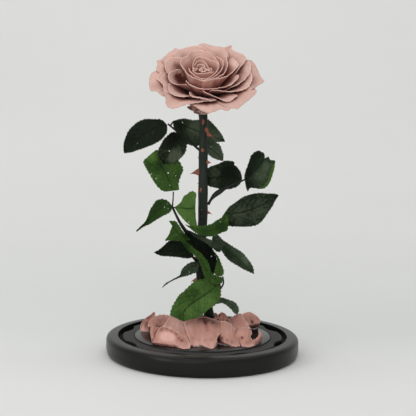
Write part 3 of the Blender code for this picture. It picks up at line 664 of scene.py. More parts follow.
def petal_material(name, foot, middle, rim_colour, vein_scale=38.0, vein_depth=0.05, hollow_shade_tint=HOLLOW_SHADE_TINT,
                   pale_lip_and_highlight_gain=1.2):
    """A petal's finish; pale_lip_and_highlight_gain is how much paler than its rim the very edge is, partly as a
    painted highlight.
    """
    material, tree, shader = new_material(name, 0.72, Specular_IOR_Level=0.2, Sheen_Weight=0.08,
                                          Sheen_Roughness=0.5, Subsurface_Weight=0.1, Subsurface_Scale=0.002)
    shader.inputs["Subsurface Radius"].default_value = (1.0, 0.45, 0.35)
    coordinates = node(tree, "TexCoord")
    on_petal, on_object = coordinates.outputs["UV"], coordinates.outputs["Object"]
    upwards = node(tree, "SeparateXYZ", {"Vector": on_petal}).outputs["Y"]
    # Darker towards the foot: mostly painted shade. The lip, paler than the rim, is partly a paler edge and partly a
    # painted highlight.
    pale_lip_and_highlight = tuple(min(1.0, channel * pale_lip_and_highlight_gain + 0.05 * (pale_lip_and_highlight_gain > 1.0)) for channel in rim_colour)
    base = ramp(tree, upwards, (0.48, foot), (0.76, middle), (0.91, rim_colour), (0.977, rim_colour), (0.99, pale_lip_and_highlight))
    shade = node(tree, "Attribute", attribute_name="shade").outputs["Fac"]
    # Positive shade mixes towards the lip colour: painted light.
    base = mix(tree, maths(tree, "MAXIMUM", shade), base, pale_lip_and_highlight)

    # Painted shade in the hollows between petals.
    hollow_shade_factor = node(tree, "AmbientOcclusion", {"Distance": HOLLOW_REACH}, samples=6).outputs["AO"]
    base = multiplied(tree, base, ramp(tree, hollow_shade_factor, (0.12, hollow_shade_tint), (0.62, WHITE)))
    veins = noise(tree, on_petal, vein_scale, 5.0, (1.0, 0.05, 1.0))
    veined = multiplied(tree, base, ramp(tree, veins, (0.3, (1.0 - vein_depth,) * 3), (0.65, WHITE)))
    cloud = noise(tree, on_object, 90.0, 3.0)
    clouded = multiplied(tree, veined, ramp(tree, cloud, (0.3, (0.9, 0.88, 0.88)), (0.7, WHITE)))

    blotch = stretch_range(tree, noise(tree, on_object, 420.0), 0.3, 0.7, 0.55, 1.3)
    # Negative shade browns the petal in blotches: painted shade in folds and gaps, and the dark spot of one fallen
    # petal.
    darker = maths(tree, "MAXIMUM", maths(tree, "MULTIPLY", shade, -1.0))
    brown = maths(tree, "MINIMUM", maths(tree, "MULTIPLY", darker, blotch), 1.0)
    tree.links.new(mix(tree, brown, clouded, SHADE_BROWN), shader.inputs["Base Color"])
    grain = noise(tree, on_object, 1400.0, 3.0)
    add_bump(tree, shader, maths(tree, "ADD", veins, maths(tree, "MULTIPLY", grain, 0.35)), 0.1 + vein_depth, 0.0006)
    return material


# %% [markdown]
# The same builder gives three finishes. The open petals are a dusty rose. The outermost ones face the light and
# would show a hard pale outline, so their lip has no painted highlight and is no paler than the rim. The bud's finish
# is a lighter copy, with less painted shade at its foot and in its hollows, so that the bud's deep wall stays light.

# %% Rose finishes
dusty_rose = petal_material("dusty_rose", (0.32, 0.12, 0.09), (0.59, 0.33, 0.275), (0.68, 0.44, 0.378))
outer_rose = petal_material("outer_rose", (0.32, 0.12, 0.09), (0.60, 0.335, 0.28), (0.695, 0.45, 0.388),
                            pale_lip_and_highlight_gain=0.93)
heart_rose = petal_material("heart_rose", (0.62, 0.37, 0.31), (0.65, 0.40, 0.34), (0.72, 0.46, 0.395),
                            hollow_shade_tint=(0.85, 0.72, 0.68))
print("rose finishes:", dusty_rose.name, outer_rose.name, heart_rose.name)

# %% [markdown]
# A rim is given as (angle, radius), with 0 degrees to the right and 270 to the front, or, where the edge is
# plain to see, as a list of pixels. The helper below finds the plan of such an edge: it looks along each line
# of sight for the point on the bloom's dome, a few times over, because the dome's height depends on the
# radius that is being sought.

# %% Rims read from the picture
RIM_STEPS = 8


def rim_seen(pixels):
    """Angles and radii of a rim that is seen at those pixels, counter-clockwise from above."""
    rays = sight(np.array(pixels, float))
    origin = from_bloom(0.0, 0.0, 0.0)
    side, depth, axis = (from_bloom(*unit) - origin for unit in ((1.0, 0, 0), (0, 1.0, 0), (0, 0, 1.0)))
    radius = np.full(len(rays), 10.0)
    for _ in range(RIM_STEPS):
        reach = ((origin - EYE) @ axis + canopy(radius)) / (rays @ axis)
        local = EYE + rays * reach[:, None] - origin
        x, y = local @ side - SIDE_DRIFT * radius / CANOPY_RADIUS, local @ depth
        radius = np.hypot(x, y)
    degrees = np.unwrap(np.arctan2(y, x))
    return np.column_stack((np.degrees(degrees), radius))


print("the pixel (203, 80) lies at", rim_seen([(203, 80)]).round(1)[0])

# %% [markdown]
# These are the rims of the 23 open petals, from the outside in. The order matters: a petal's place in the
# list gives its level, and the foot of an outer petal sits a little lower and wider than that of an inner
# one, so that no two sheets share a surface. The first and last point of each rim lie behind the neighbours.

# %% Rims of the petals
PETAL_RIMS = {
    "outer_petal_front": (
        (246, 47.5), (255, 44.3), (261, 45.4), (266, 48), (270, 49.6), (279, 49.6), (287, 47.4), (292, 50),
        (300, 50.2), (305, 52.4)),
    "outer_petal_front_right": (
        (280, 40.5), (289, 43.5), (293, 46.5), (299, 49.4), (304, 52), (309, 50.5), (320, 49.6), (336, 49.8),
        (343, 48.7), (352, 51.5)),
    "outer_petal_right": (
        (325, 46), (334, 46), (342, 46.7), (350, 49.6), (356.5, 52.8), (363, 50), (373, 48.8), (385, 49.3),
        (396, 49.8), (405, 50.5)),
    "outer_petal_left": (
        (160, 49), (169, 48.2), (175, 49.7), (184, 51.5), (195, 52.8), (202, 52.6), (206, 49.5), (211, 48.2),
        (217, 49.2), (226, 54)),
    "outer_petal_front_left": (
        (199, 42), (208, 43.3), (215, 45.2), (222, 47.7), (229, 52.8), (236, 53), (243, 48), (252, 43.2),
        (261, 40.6), (270, 39.2), (279, 38.4), (287, 38.2), (294, 37.5)),
    "outer_petal_left_tip": (
        (138, 51), (147, 49.9), (151.5, 52), (157, 48.3), (166, 46.2), (175, 44.8), (184, 45.5)),
    "outer_petal_left_back": (
        (110, 51.5), (119, 49.5), (121.5, 50.3), (124, 53.5), (127, 51), (131, 50.2), (141, 48.5), (149, 47),
        (157, 42.5), (166, 41)),
    "middle_petal_left": (
        (168, 39.2), (173, 38.3), (179, 41.5), (185, 44.2), (195, 41.7), (203, 41.2), (212, 43), (221, 42.6),
        (230, 43)),
    "middle_petal_front_left": (
        (193, 37.5), (202, 35.2), (209, 36.8), (216, 40), (227, 40.7), (238, 39.2), (246, 36.4), (255, 38.4)),
    "middle_petal_front": (
        (234, 27.5), (243, 30.5), (249, 34.8), (259, 35.7), (270, 37), (279, 38), (287, 38.8), (296, 45)),
    "middle_petal_front_right": (
        (257, 25.5), (266, 26.5), (278, 31.5), (289, 36.9), (297, 41.8), (304, 42.4), (311, 41.4), (318, 41.6),
        (323, 43.8)),
    "middle_petal_right_low": (
        *rim_seen(((205, 92.5), (210, 91), (216, 90), (223, 90.9), (230, 91.7), (236, 91.4), (241, 90.4), (246, 88.4),
                   (249.6, 85.4), (251.8, 81), (252.2, 77), (251, 72.6), (249, 70), (246.5, 67))),),
    "middle_petal_right": (
        *rim_seen(((226, 88.5), (231, 87), (235, 85.4), (239, 83.6), (243, 81), (246.5, 77.5), (249.5, 73),
                   (251, 68.5), (250.8, 64.5), (249, 61.2), (247, 59.6), (243, 57))),),
    "outer_petal_back_right": (
        (355, 31), (364, 29.8), (375, 32.7), (388, 40), (397, 46.5), (406, 49), (412, 47.5), (419, 48.3),
        (423.5, 52), (426, 58.5), (428, 52.5), (431, 48.8), (439, 48)),
    "inner_petal_left_back": (
        *rim_seen(((187, 56), (184, 57.2), (180, 57.8), (176, 57.6), (172, 57.4), (168.2, 59.2), (165.6, 62.5),
                   (164.8, 66), (166, 70), (168, 74), (169, 78))),),
    "inner_petal_left": (
        *rim_seen(((185.5, 66.5), (181, 68), (176, 69.8), (171.5, 71.6), (168.9, 74.3), (168.4, 77.5), (170.3, 81),
                   (174, 83.7), (178, 84.8), (183, 84.5), (188, 84), (192, 84))),),
    "inner_petal_front": (
        *rim_seen(((184.5, 76), (185.5, 79.5), (188, 83), (192, 85.5), (197, 87.4), (203, 88.8), (209, 89.2),
                   (215, 88.4), (219, 87.4), (225, 87), (230, 85.4), (234, 82.4), (237, 79), (238.4, 76),
                   (237.2, 73.2), (234, 70))),),
    "inner_petal_right": (
        (298, 13.5), (310, 16), (325, 18.6), (341, 21.6), (359, 25.3), (373, 29.8), (384, 33), (397, 33.6),
        (406, 33.2), (415, 38.6)),
    "outer_petal_back": (
        (36, 27.5), (45, 30.3), (54, 35.4), (64, 43), (70, 46), (78, 45.5), (87, 48), (93, 52), (101, 49.5),
        (110, 49.8)),
    "outer_petal_back_left": (
        (58, 26), (64, 25), (76, 29.5), (88, 34), (96, 43), (104, 46.5),
        *rim_seen(((184, 48), (178.5, 49.8), (175.3, 53), (172.7, 56.3), (171.3, 58.6))),),
    "inner_petal_back_left": (
        *rim_seen(((213, 54), (206, 51.2), (200, 50.2), (194, 50.5), (190.3, 52), (188.3, 55.6), (183.5, 57.8),
                   (180.8, 61), (181, 64), (183, 67.5), (186, 71.5), (189.5, 75), (194, 77.6), (199, 79.2),
                   (203, 80.2), (207, 79.4), (211, 77.6))),),
    "bud_petal_right": (
        *rim_seen(((196.5, 77.2), (200.5, 78.9), (204, 80.5), (206, 80.5), (210, 79.6), (215, 78.2), (219.5, 76),
                   (223, 74), (225.4, 71), (227, 67), (227.4, 63), (226.6, 58.5), (225.2, 54.5), (223, 51.5))),),
    "bud_petal_back": (
        *rim_seen(((201, 77.8), (205, 79.2), (209, 78.7), (213, 77.2), (216.5, 74.8), (220, 71), (222.6, 67.2),
                   (223.4, 63.5), (222, 60), (218.5, 57.3), (214.5, 55.8), (210, 54.6))),),
}
print("rims:", len(PETAL_RIMS), "with", sum(len(rim) for rim in PETAL_RIMS.values()), "points in all")

# %% [markdown]
# Single places on the petals are painted lighter or darker than the rest: painted light on faces that catch it,
# painted shade in deep folds and gaps. They could be painted by hand in Vertex Paint; a short list of soft round
# patches is easier to change.

# %% Painted light and shade on the petals
# pixel x, pixel y, size, amount
PAINTED_PETAL_LIGHT_AND_SHADE = {
    "outer_petal_left": ((154, 86, 4, -0.2), (161.5, 83, 3.5, -0.3), (162.5, 90, 3.5, -0.4), (157, 88, 4, -0.12)),
    "outer_petal_right": ((254, 80, 4.5, -0.5), (253, 86, 4, -0.2), (257, 70, 4, -0.15), (251, 61, 3, -0.12)),
    "middle_petal_right": ((242, 73, 4, -0.35), (241, 79, 3, -0.3)),
    "inner_petal_front": ((228, 80, 3.5, -0.6), (231, 76, 2.5, -0.5), (200, 92, 5, 0.9)),
    "middle_petal_front_right": ((200, 93, 5, 0.7),),
    "middle_petal_front": ((196, 93, 5, 0.6),),
    "inner_petal_right": ((227.5, 68.5, 2.8, -0.4), (233.5, 64, 4, 1.1)),
    "inner_petal_left_back": ((178, 67, 4.5, -0.7), (175, 64, 2.5, -0.2)),
    "inner_petal_left": ((179, 75, 5.5, -0.9), (181, 81, 4.5, -1.0), (176, 78, 4, -0.4)),
    "inner_petal_back_left": ((192, 81, 4, 0.9), (200, 84.5, 5, 0.45), (209, 84.5, 5, 0.35)),
    "bud_petal_right": ((211, 84, 5, 0.4), (217, 81, 4, 0.3)),
    "outer_petal_front_left": ((170, 100, 7, -0.2),),
    "outer_petal_front_right": ((240, 98, 6, -0.12),),
    "outer_petal_back_left": ((183, 55, 3, -0.25), (178, 66, 4.5, -0.6)),
}
print("petals with patches:", len(PAINTED_PETAL_LIGHT_AND_SHADE))

# %% [markdown]
# Now the petals are made, one by one, from the outside in. The two small ones that wrap the bud roll and
# ruffle less than the open ones.

# %% Open petals
OUTERMOST = ("outer_petal_front", "outer_petal_front_right", "outer_petal_right", "outer_petal_left",
             "outer_petal_front_left", "outer_petal_left_tip", "outer_petal_left_back", "outer_petal_back")
for index, (name, rim) in enumerate(PETAL_RIMS.items()):
    small = "bud" in name
    finish = heart_rose if small else outer_rose if name in OUTERMOST else dusty_rose
    made = petal("soft_" + name, rim, len(PETAL_RIMS) - index, finish, index,
                 roll=0.9 if small else ROLL_OUT, wave=0.2 if small else 0.45, patches=PAINTED_PETAL_LIGHT_AND_SHADE.get(name, ()))
    settle(made, "petal", name)
print("open petals:", len(PETAL_RIMS))

# %% [markdown]
# The closed heart of the bud is a nest of small petals, rolled round each other. They are the same kind of
# sheet with tighter rims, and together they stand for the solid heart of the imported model. The smallest are
# made only in their upper part, because nothing below it can be seen.

# %% Heart petals
HEART_RIMS = {
    "bud_petal_inner_right": (
        (200, 77.4), (204.5, 78.8), (209, 77.4), (213, 74.6), (217, 70.5), (218.8, 66), (218.2, 62.5), (216, 59),
        (213, 55), (209.5, 52.6), (206, 51.4), (202, 50.6), (198, 50.4), (194, 51)),
    "bud_petal_inner_front": (
        (191, 63), (189, 67), (189.2, 69.6), (192, 72.6), (195, 75.3), (198, 77.2), (202, 78.5), (206, 78),
        (210, 75.6)),
    "heart_petal_back": (
        (219, 68), (218.3, 65), (217, 62.3), (214.5, 61), (211, 60.4), (208, 59), (204, 57.5),
        (200, 56.8), (197, 57.6), (194.6, 60.5), (193.2, 63.5), (193, 67), (193.5, 71), (196, 74)),
    "heart_petal_front": (
        (193.6, 66), (193.2, 69.5), (194, 71.6), (196, 72.7), (199, 73.3), (203, 73.1), (207, 72.8), (211, 72.2),
        (214.3, 70.9), (216, 68)),
    "heart_petal_left": (
        (209.4, 70.5), (208.6, 67.5), (206.6, 64.3), (204.5, 62), (202, 60.7), (199, 60.6), (196.2, 62.5),
        (194.7, 65.5), (194.5, 69)),
    "heart_petal_fold": (
        (206.4, 68.6), (205.6, 66.6), (203.6, 64.9), (201, 64.1), (198.4, 64.7), (196.8, 66.2), (196.4, 68.4)),
}
heart_pieces = []
for index, (name, rim) in enumerate(HEART_RIMS.items()):
    large = "bud" in name
    made = petal(name, rim_seen(rim), 0, heart_rose, 40 + index, roll=0.8 if large else 0.6,
                 start=0.0 if large else 0.4, wave=0.12)
    heart_pieces.append(made)
print("petals of the heart:", len(heart_pieces))

# %% [markdown]
# At the very middle the smallest petals are only curls. Each is a ribbon that follows a spiral and stands
# upright in the bloom's frame, a little wider at the top.

# %% Curls at the very middle
# middle in the picture, outer and inner radius in mm, first angle, turns
HEART_CURLS = (
    ((209.9, 68.9), 2.0, 1.3, 200.0, 0.95), ((209.4, 69.4), 0.8, 0.5, 40.0, 0.8), ((195.8, 68.6), 1.6, 0.8, 20.0, 0.9),
    ((203.2, 69.0), 3.3, 1.9, 10.0, 0.9), ((204.8, 69.6), 1.9, 0.9, 150.0, 0.85), ((200.6, 69.3), 1.5, 0.8, 300.0, 0.8),
)
CURL_FOOT, CURL_HEIGHT, CURL_THICKNESS = 28.0, 11.6, 0.5
t = np.linspace(0.0, 1.0, 34)[None, :]
rise = np.linspace(0.0, 1.0, 16)[:, None]
for index, (middle, outer, inner, first, turns) in enumerate(HEART_CURLS):
    angle, distance = rim_seen([middle])[0]
    x, y = distance * math.cos(math.radians(angle)), distance * math.sin(math.radians(angle))
    swirl = np.radians(first + 360.0 * turns * t)
    radius = (outer + (inner - outer) * t) * (0.55 + 0.45 * rise) + 0.5 * smooth_step(0.8, 1.0, rise)
    height = CURL_FOOT + (CURL_HEIGHT + 0.3 * np.sin(swirl * 2 + index)) * rise - 0.35 * smooth_step(0.93, 1.0, rise)
    curl = from_bloom(x + radius * np.cos(swirl), y + radius * np.sin(swirl), height)
    heart_pieces.append(thicken(grid_object(f"heart_curl_{index + 1}", curl, heart_rose), CURL_THICKNESS))
for piece in heart_pieces:
    settle(piece, "heart", "heart")
print("pieces of the heart:", len(heart_pieces))

# %% [markdown]
# Stem, thorns and leaf stalks are round and taper, so they share one helper: a tube swept along a curve. A
# curve object's bevel could do it, but only a grid lets the bark swell unevenly. The frames of the sweep are
# carried along the curve, so the grid doesn't twist. Both ends close in a point, whose corners are welded.

# %% Tube helper
WELD_METRES = 0.00001


def tube(name, path, material, sides=20, bumps=None):
    """A closed round stem along (x, y, z, radius) rows; bumps(angle, row) may change the radius."""
    path = np.array(path, float)
    centre, radius = path[:, :3], path[:, 3]
    along = np.gradient(centre, axis=0)
    along /= np.linalg.norm(along, axis=1)[:, None]
    side = np.cross(along[0], (0.0, 1.0, 0.0))
    side /= np.linalg.norm(side)
    angles = np.arange(sides) * 2 * math.pi / sides
    rings = [np.repeat(centre[:1], sides, axis=0)]
    for index in range(len(path)):
        side = side - along[index] * (side @ along[index])
        side /= np.linalg.norm(side)
        other = np.cross(along[index], side)
        size = radius[index] * (1.0 if bumps is None else bumps(angles, index))
        size = np.broadcast_to(size, angles.shape)
        rings.append(centre[index] + (np.cos(angles) * size)[:, None] * side
                     + (np.sin(angles) * size)[:, None] * other)
    rings.append(np.repeat(centre[-1:], sides, axis=0))
    piece = grid_object(name, np.array(rings), material, closed=True)
    weld = piece.modifiers.new("Weld", "WELD")
    weld.merge_threshold = WELD_METRES
    return bake_modifiers(piece)


# %% [markdown]
# The stem is woody: a dull grey green above that turns nearly black below, by the height. Bark is streaked
# along the stem, so its noise is drawn out upwards, and the same streaks give it relief.

# %% Bark
STREAK = (1.0, 1.0, 0.08)
DARK_BELOW, PALE_ABOVE = 0.09, 0.15


def bark_material(name, low, high):
    """Streaked bark, from one colour low on the stem to another above."""
    material, tree, shader = new_material(name, 0.55, Specular_IOR_Level=0.2)
    place = object_place(tree)
    height = node(tree, "SeparateXYZ", {"Vector": place}).outputs["Z"]
    colour = mix(tree, stretch_range(tree, height, DARK_BELOW, PALE_ABOVE), low, high)
    streaks = noise(tree, place, 260.0, 6.0, STREAK)
    tint = ramp(tree, streaks, (0.3, (0.6, 0.6, 0.6)), (0.7, (1.15, 1.15, 1.15)))
    tree.links.new(multiplied(tree, colour, tint), shader.inputs["Base Color"])
    add_bump(tree, shader, streaks, 0.5, 0.0006)
    return material


stem_bark = bark_material("stem_bark", (0.004, 0.007, 0.004), (0.017, 0.024, 0.016))
stalk_green = bark_material("stalk_green", (0.010, 0.016, 0.008), (0.014, 0.020, 0.012))
print("barks:", stem_bark.name, "and", stalk_green.name)

# %% [markdown]
# The stem stands in the disc's hole, bows a little to the left on its way up and bends back under the bloom.
# It is never quite round: a few low waves run round it and shift with the height, which breaks the highlights.

# %% Stem
# x, y, z, radius
STEM_PATH = (
    (8.0, 6.0, 14.1, 5.3), (7.9, 6.0, 17.0, 5.3), (7.0, 6.0, 30.0, 4.9), (4.5, 5.5, 44.0, 4.6),
    (0.5, 5.0, 58.0, 4.6), (-2.2, 5.0, 74.0, 4.7), (-2.6, 5.0, 92.0, 4.6), (-2.0, 5.0, 112.0, 4.4),
    (-1.7, 5.0, 145.0, 4.5), (-2.0, 5.2, 178.0, 4.3), (-2.4, 6.4, 205.0, 4.0), (-2.4, 9.0, 216.0, 3.9),
    (-2.9, 11.4, 223.5, 4.1), (-3.5, 12.2, 228.4, 4.4))
STEM_ROWS = 180
stem_rows = smooth_curve(STEM_PATH, STEM_ROWS)


def knobbly(angles, index):
    """How far the stem's radius strays from the round at one row."""
    wave = (0.025 * np.sin(angles * 3 + index * 0.11) + 0.02 * np.sin(angles * 5 - index * 0.21)
            + 0.02 * math.sin(index * 0.45))
    return 1.0 + wave


settle(tube("woody_stem", stem_rows, stem_bark, sides=28, bumps=knobbly), "stem", "stem")
print("stem:", round(stem_rows[-1, 2] - stem_rows[0, 2]), "mm high")

# %% [markdown]
# Thorns are flattened cones that hook downwards. Each has a long oval root on the bark. The big ones are the
# brightest thing on the stem, a brick red. A thorn is a tube whose radius runs from the root to a point, and
# afterwards it is pressed flat from the sides.

# %% Thorns
thorn_red, tree, shader = new_material("thorn_red", 0.5, Specular_IOR_Level=0.4)
blotch = noise(tree, object_place(tree), 350.0)
cloudy_colour(tree, shader, blotch, (0.3, (0.18, 0.045, 0.025)), (0.7, (0.32, 0.10, 0.06)))
add_bump(tree, shader, blotch, 0.3, 0.0004)

# height, direction round the stem (0 right, 270 front), length, half height of the root, droop, wide
THORNS = (
    (216.5, 262, 1.2, 4.2, 0.0, 0.45),
    (209.5, 320, 3.0, 4.2, 0.6, 0.5),
    (206.5, 345, 7.5, 2.6, 0.45, 0.6),
    (192.0, 262, 2.0, 3.2, 0.2, 0.7),
    (185.0, 186, 1.6, 1.0, 0.1, 0.6),
    (188.0, 356, 1.6, 1.0, 0.1, 0.6),
    (181.0, 330, 5.0, 2.8, 0.1, 0.6),
    (171.5, 186, 8.0, 4.2, 0.25, 0.5),
    (161.0, 190, 1.4, 1.2, 0.1, 0.6),
    (155.0, 240, 2.4, 3.4, 0.2, 0.5),
    (137.0, 255, 1.6, 1.4, 0.2, 0.6),
    (134.0, 350, 4.8, 2.4, 0.4, 0.6),
    (131.0, 262, 1.6, 1.2, 0.2, 0.6),
    (98.0, 300, 7.5, 2.6, 0.1, 0.6),
    (93.0, 318, 3.0, 1.6, 0.2, 0.6),
    (91.0, 196, 6.0, 2.2, -0.1, 0.6),
    (84.0, 240, 3.0, 1.8, 0.2, 0.6),
    (70.0, 190, 6.0, 3.0, 0.35, 0.6),
)


def stem_at(height):
    """Centre and radius of the stem at a height."""
    return np.array([np.interp(height, stem_rows[:, 2], stem_rows[:, column]) for column in (0, 1, 3)])


def press_flat(piece, centre, sideways, wide):
    """Draws the piece in towards its upright middle plane, to a share of its width."""
    corners = np.array([v.co for v in piece.data.vertices])
    away = (corners - centre) @ sideways
    corners -= away[:, None] * sideways * (1 - wide)
    piece.data.vertices.foreach_set("co", corners.ravel())


for index, (height, direction, length, root, droop, wide) in enumerate(THORNS):
    x, y, radius = stem_at(height)
    angle = math.radians(direction)
    outward = np.array((math.cos(angle), math.sin(angle), 0.0))
    rows = []
    for t in np.linspace(0.0, 1.0, 12):
        reach = radius * 0.75 + (radius * 0.25 + length) * t
        drop = droop * length * t ** 2
        rows.append((*(np.array((x, y, height - drop)) + outward * reach), max(root * (1 - t) ** 1.4, 0.08)))
    thorn = settle(tube(f"thorn_{index + 1}", rows, thorn_red, sides=14), "stem", "stem")
    press_flat(thorn, np.array((x, y, height)) * MM, np.array((-math.sin(angle), math.cos(angle), 0.0)), wide)
print("thorns:", len(THORNS))

# %% [markdown]
# Under the bloom sits the calyx: a small cup that grips the petals, and five narrow sepals that spread below
# the lowest petals. On a preserved rose it has dried to a pale brown with darker blotches. The cup is a lathe
# form like the base, only in the bloom's tilted frame.

# %% Calyx cup
CUP_STEPS = 48
CUP_PROFILE = rounded(
    ((0.01, 5.7), (4.2, 5.6), (7.1, 3.4), (9.3, 0.3), (11.0, -1.9), (11.1, -3.2), (9.6, -5.6), (6.4, -7.6),
     (4.6, -8.9), (0.01, -9.3)), 1.6, 4)
calyx_brown, tree, shader = new_material("calyx_brown", 0.65, Specular_IOR_Level=0.3)
blotch = noise(tree, object_place(tree), 160.0, 5.0)
cloudy_colour(tree, shader, blotch, (0.38, (0.19, 0.115, 0.09)), (0.6, (0.48, 0.33, 0.285)))
add_bump(tree, shader, blotch, 0.4, 0.0008)

angles = np.arange(CUP_STEPS) * 360.0 / CUP_STEPS
cup_points = bloom_point(np.repeat(CUP_PROFILE[:, :1], CUP_STEPS, axis=1), angles[None, :],
                         np.repeat(CUP_PROFILE[:, 1:], CUP_STEPS, axis=1))
settle(grid_object("calyx_cup", cup_points, calyx_brown, closed=True), "stem", "stem")
print("calyx:", round(2 * CUP_PROFILE[:, 0].max(), 1), "mm across")

# %% [markdown]
# A sepal is a narrow pointed leaf with a shallow trough. It leaves the cup at a slant and sags a little. All
# five come from one loop, with their own direction and length.

# %% Sepals
SEPAL_ANGLES = (200, 246, 290, 20, 105)
SEPAL_LENGTHS = (7.5, 8.0, 6.0, 9.0, 10.0)
SEPAL_SLANT = math.radians(24.0)
SEPAL_SAG, SEPAL_TROUGH, SEPAL_THICKNESS = 1.2, 0.8, 0.8
along = np.linspace(0.0, 1.0, 26)[:, None]
across = np.linspace(-1.0, 1.0, 11)[None, :]
for index, (angle, length) in enumerate(zip(SEPAL_ANGLES, SEPAL_LENGTHS)):
    radius = 8.0 + length * along * math.cos(SEPAL_SLANT)
    height = (-3.4 + length * along * math.sin(SEPAL_SLANT) - SEPAL_SAG * 4 * along * (1 - along)
              + SEPAL_TROUGH * across ** 2 * (1 - along))
    width = 4.6 * (1.0 - along) ** 0.6 + 0.25 + 0.3 * np.sin(along * 19 + index) * (1 - along)
    turn = math.radians(angle)
    x = radius * math.cos(turn) - across * width * math.sin(turn)
    y = radius * math.sin(turn) + across * width * math.cos(turn)
    sepal = grid_object(f"sepal_{index + 1}", from_bloom(x, y, height), calyx_brown)
    settle(thicken(sepal, SEPAL_THICKNESS), "stem", "stem")
print("sepals:", len(SEPAL_ANGLES))

# %% [markdown]
# Leaf stalks are thin tubes that taper, thicken at the joints and run right up to the leaflets that they carry.
# A stalk that forks is a few tubes whose ends lie inside each other, which looks grown together.

# %% Leaf stalks
STALK_ROWS = 24
# x, y, z, radius of each branch
STALKS = {
    "leaf_stalk_upper": (
        ((-5.5, 7.0, 191.6, 1.2), (-15.0, 10.0, 199.0, 1.1), (-23.0, 12.0, 205.0, 1.0), (-30.0, 13.0, 210.5, 0.9),
         (-35.5, 13.9, 214.9, 0.8)),
        ((-33.0, 13.6, 213.2, 0.8), (-30.5, 15.0, 216.6, 0.7), (-27.0, 16.5, 217.2, 0.6)),
        ((-22.5, 11.8, 204.8, 0.7), (-24.6, 9.0, 205.0, 0.6)),
    ),
    "leaf_stalk_middle_left": (
        ((-6.0, 2.2, 101.5, 1.3), (-13.0, -3.0, 112.5, 1.3), (-18.0, -6.5, 119.0, 1.7), (-23.0, -9.3, 127.0, 1.3),
         (-27.0, -10.0, 135.0, 1.1), (-29.8, -10.0, 141.0, 1.0)),
        ((-29.8, -10.0, 140.5, 0.8), (-29.2, -9.5, 147.0, 0.6), (-29.0, -8.0, 154.6, 0.6)),
        ((-29.6, -10.0, 140.2, 0.7), (-31.6, -10.8, 139.6, 0.6)),
        ((-29.6, -10.0, 140.2, 0.7), (-26.8, -11.2, 140.3, 0.6)),
    ),
    "leaf_stalk_right": (
        ((3.2, 5.0, 141.0, 1.4), (5.5, 5.8, 145.5, 1.3), (9.0, 6.7, 149.8, 2.2), (14.0, 7.3, 153.4, 2.4),
         (19.0, 7.4, 156.4, 1.3), (27.0, 6.0, 160.5, 0.9), (36.0, 4.0, 165.0, 0.8), (38.6, 3.2, 166.4, 0.8)),
    ),
    "leaf_stalk_lower_left": (
        ((-6.0, 3.5, 86.5, 1.1), (-12.5, -4.0, 96.0, 1.0), (-17.5, -8.0, 104.5, 0.9), (-20.8, -9.8, 111.0, 0.8)),
    ),
    "leaf_stalk_lower_right": (
        ((4.0, 5.0, 51.0, 1.2), (11.5, 1.0, 57.5, 1.1), (15.5, -5.0, 63.0, 1.0), (15.2, -9.8, 69.0, 0.8)),
        ((15.5, -5.0, 63.0, 0.9), (18.5, -3.0, 68.0, 0.8), (18.0, -2.5, 75.0, 0.7)),
    ),
}
for name, branches in STALKS.items():
    for index, branch in enumerate(branches):
        rows = smooth_curve(branch, STALK_ROWS)
        made = tube(name.replace("leaf", "green") + (f"_fork_{index}" if index else ""), rows, stalk_green, sides=12)
        settle(made, "leaf_stalk", name)
print("branches of the leaf stalks:", sum(len(branches) for branches in STALKS.values()))

# %% [markdown]
# A leaflet is drawn as it is seen: its left edge, its right edge and its midrib, each from base to tip, in
# pixels of the photograph. A plane through base and tip gives the depth. The fold along the midrib, the bow
# and the waves of the real leaf are then added along the line of sight, so they shade the leaf without moving
# its outline. Small teeth point to the tip, and the blade swells between its side veins. Where a leaf is torn,
# the faces are left out.

# %% Leaf builder
LEAF_THICKNESS = 0.35
LEAF_COLUMNS = 13
ROW_STEP = 0.5
FEWEST_ROWS, MOST_ROWS = 40, 130
TOOTH_MM = 2.7
TOOTH_HEIGHT = 1.15
SIDE_VEINS = 7.5
HOLE_PIXELS = 0.42


def outline_grid(left, midrib, right, t, length, seed):
    """Pixels of the blade, row by row, from one toothed edge over the midrib to the other; and the columns."""
    edges = [smooth_curve(line, len(t)) for line in (left, midrib, right)]
    tooth = (t * length * 1.25 / TOOTH_MM + 0.3 * np.sin(t * 23 + seed)) % 1.0
    reach = TOOTH_HEIGHT / 0.93 * (0.5 - tooth) * smooth_step(0.04, 0.14, t) * smooth_step(1.0, 0.93, t)
    across = np.linspace(-1.0, 1.0, 2 * LEAF_COLUMNS + 1)
    across = np.sign(across) * np.abs(across) ** 0.9
    grid = np.zeros((len(t), 2 * LEAF_COLUMNS + 1, 2))
    for column, s in enumerate(across):
        span = (edges[0] if s < 0 else edges[2]) - edges[1]
        outward = span / np.maximum(np.linalg.norm(span, axis=1)[:, None], 0.3)
        grid[:, column] = edges[1] + span * abs(s) + outward * (reach * smooth_step(0.8, 1.0, abs(s)))[:, None]
    return grid, across


def leaf_relief(s, v, bow, fold, ripple, seed):
    """Depth along the line of sight: bow, fold along the midrib, swelling between side veins and waves."""
    dice = np.random.default_rng(seed)
    veins = np.cos((v * SIDE_VEINS - 2.4 * np.abs(s) ** 1.2) * 2 * math.pi)
    swell = ripple * 0.35 * veins * np.sin(np.clip(np.abs(s) * math.pi, 0, math.pi))
    wavy = ripple * np.abs(s) ** 1.5 * (np.sin(v * 11 + dice.uniform(0, 6.3) + 2 * np.sign(s))
                                        + 0.5 * np.sin(v * 21 + dice.uniform(0, 6.3)))
    return bow * 4 * v * (1 - v) - fold * np.abs(s) + swell + wavy


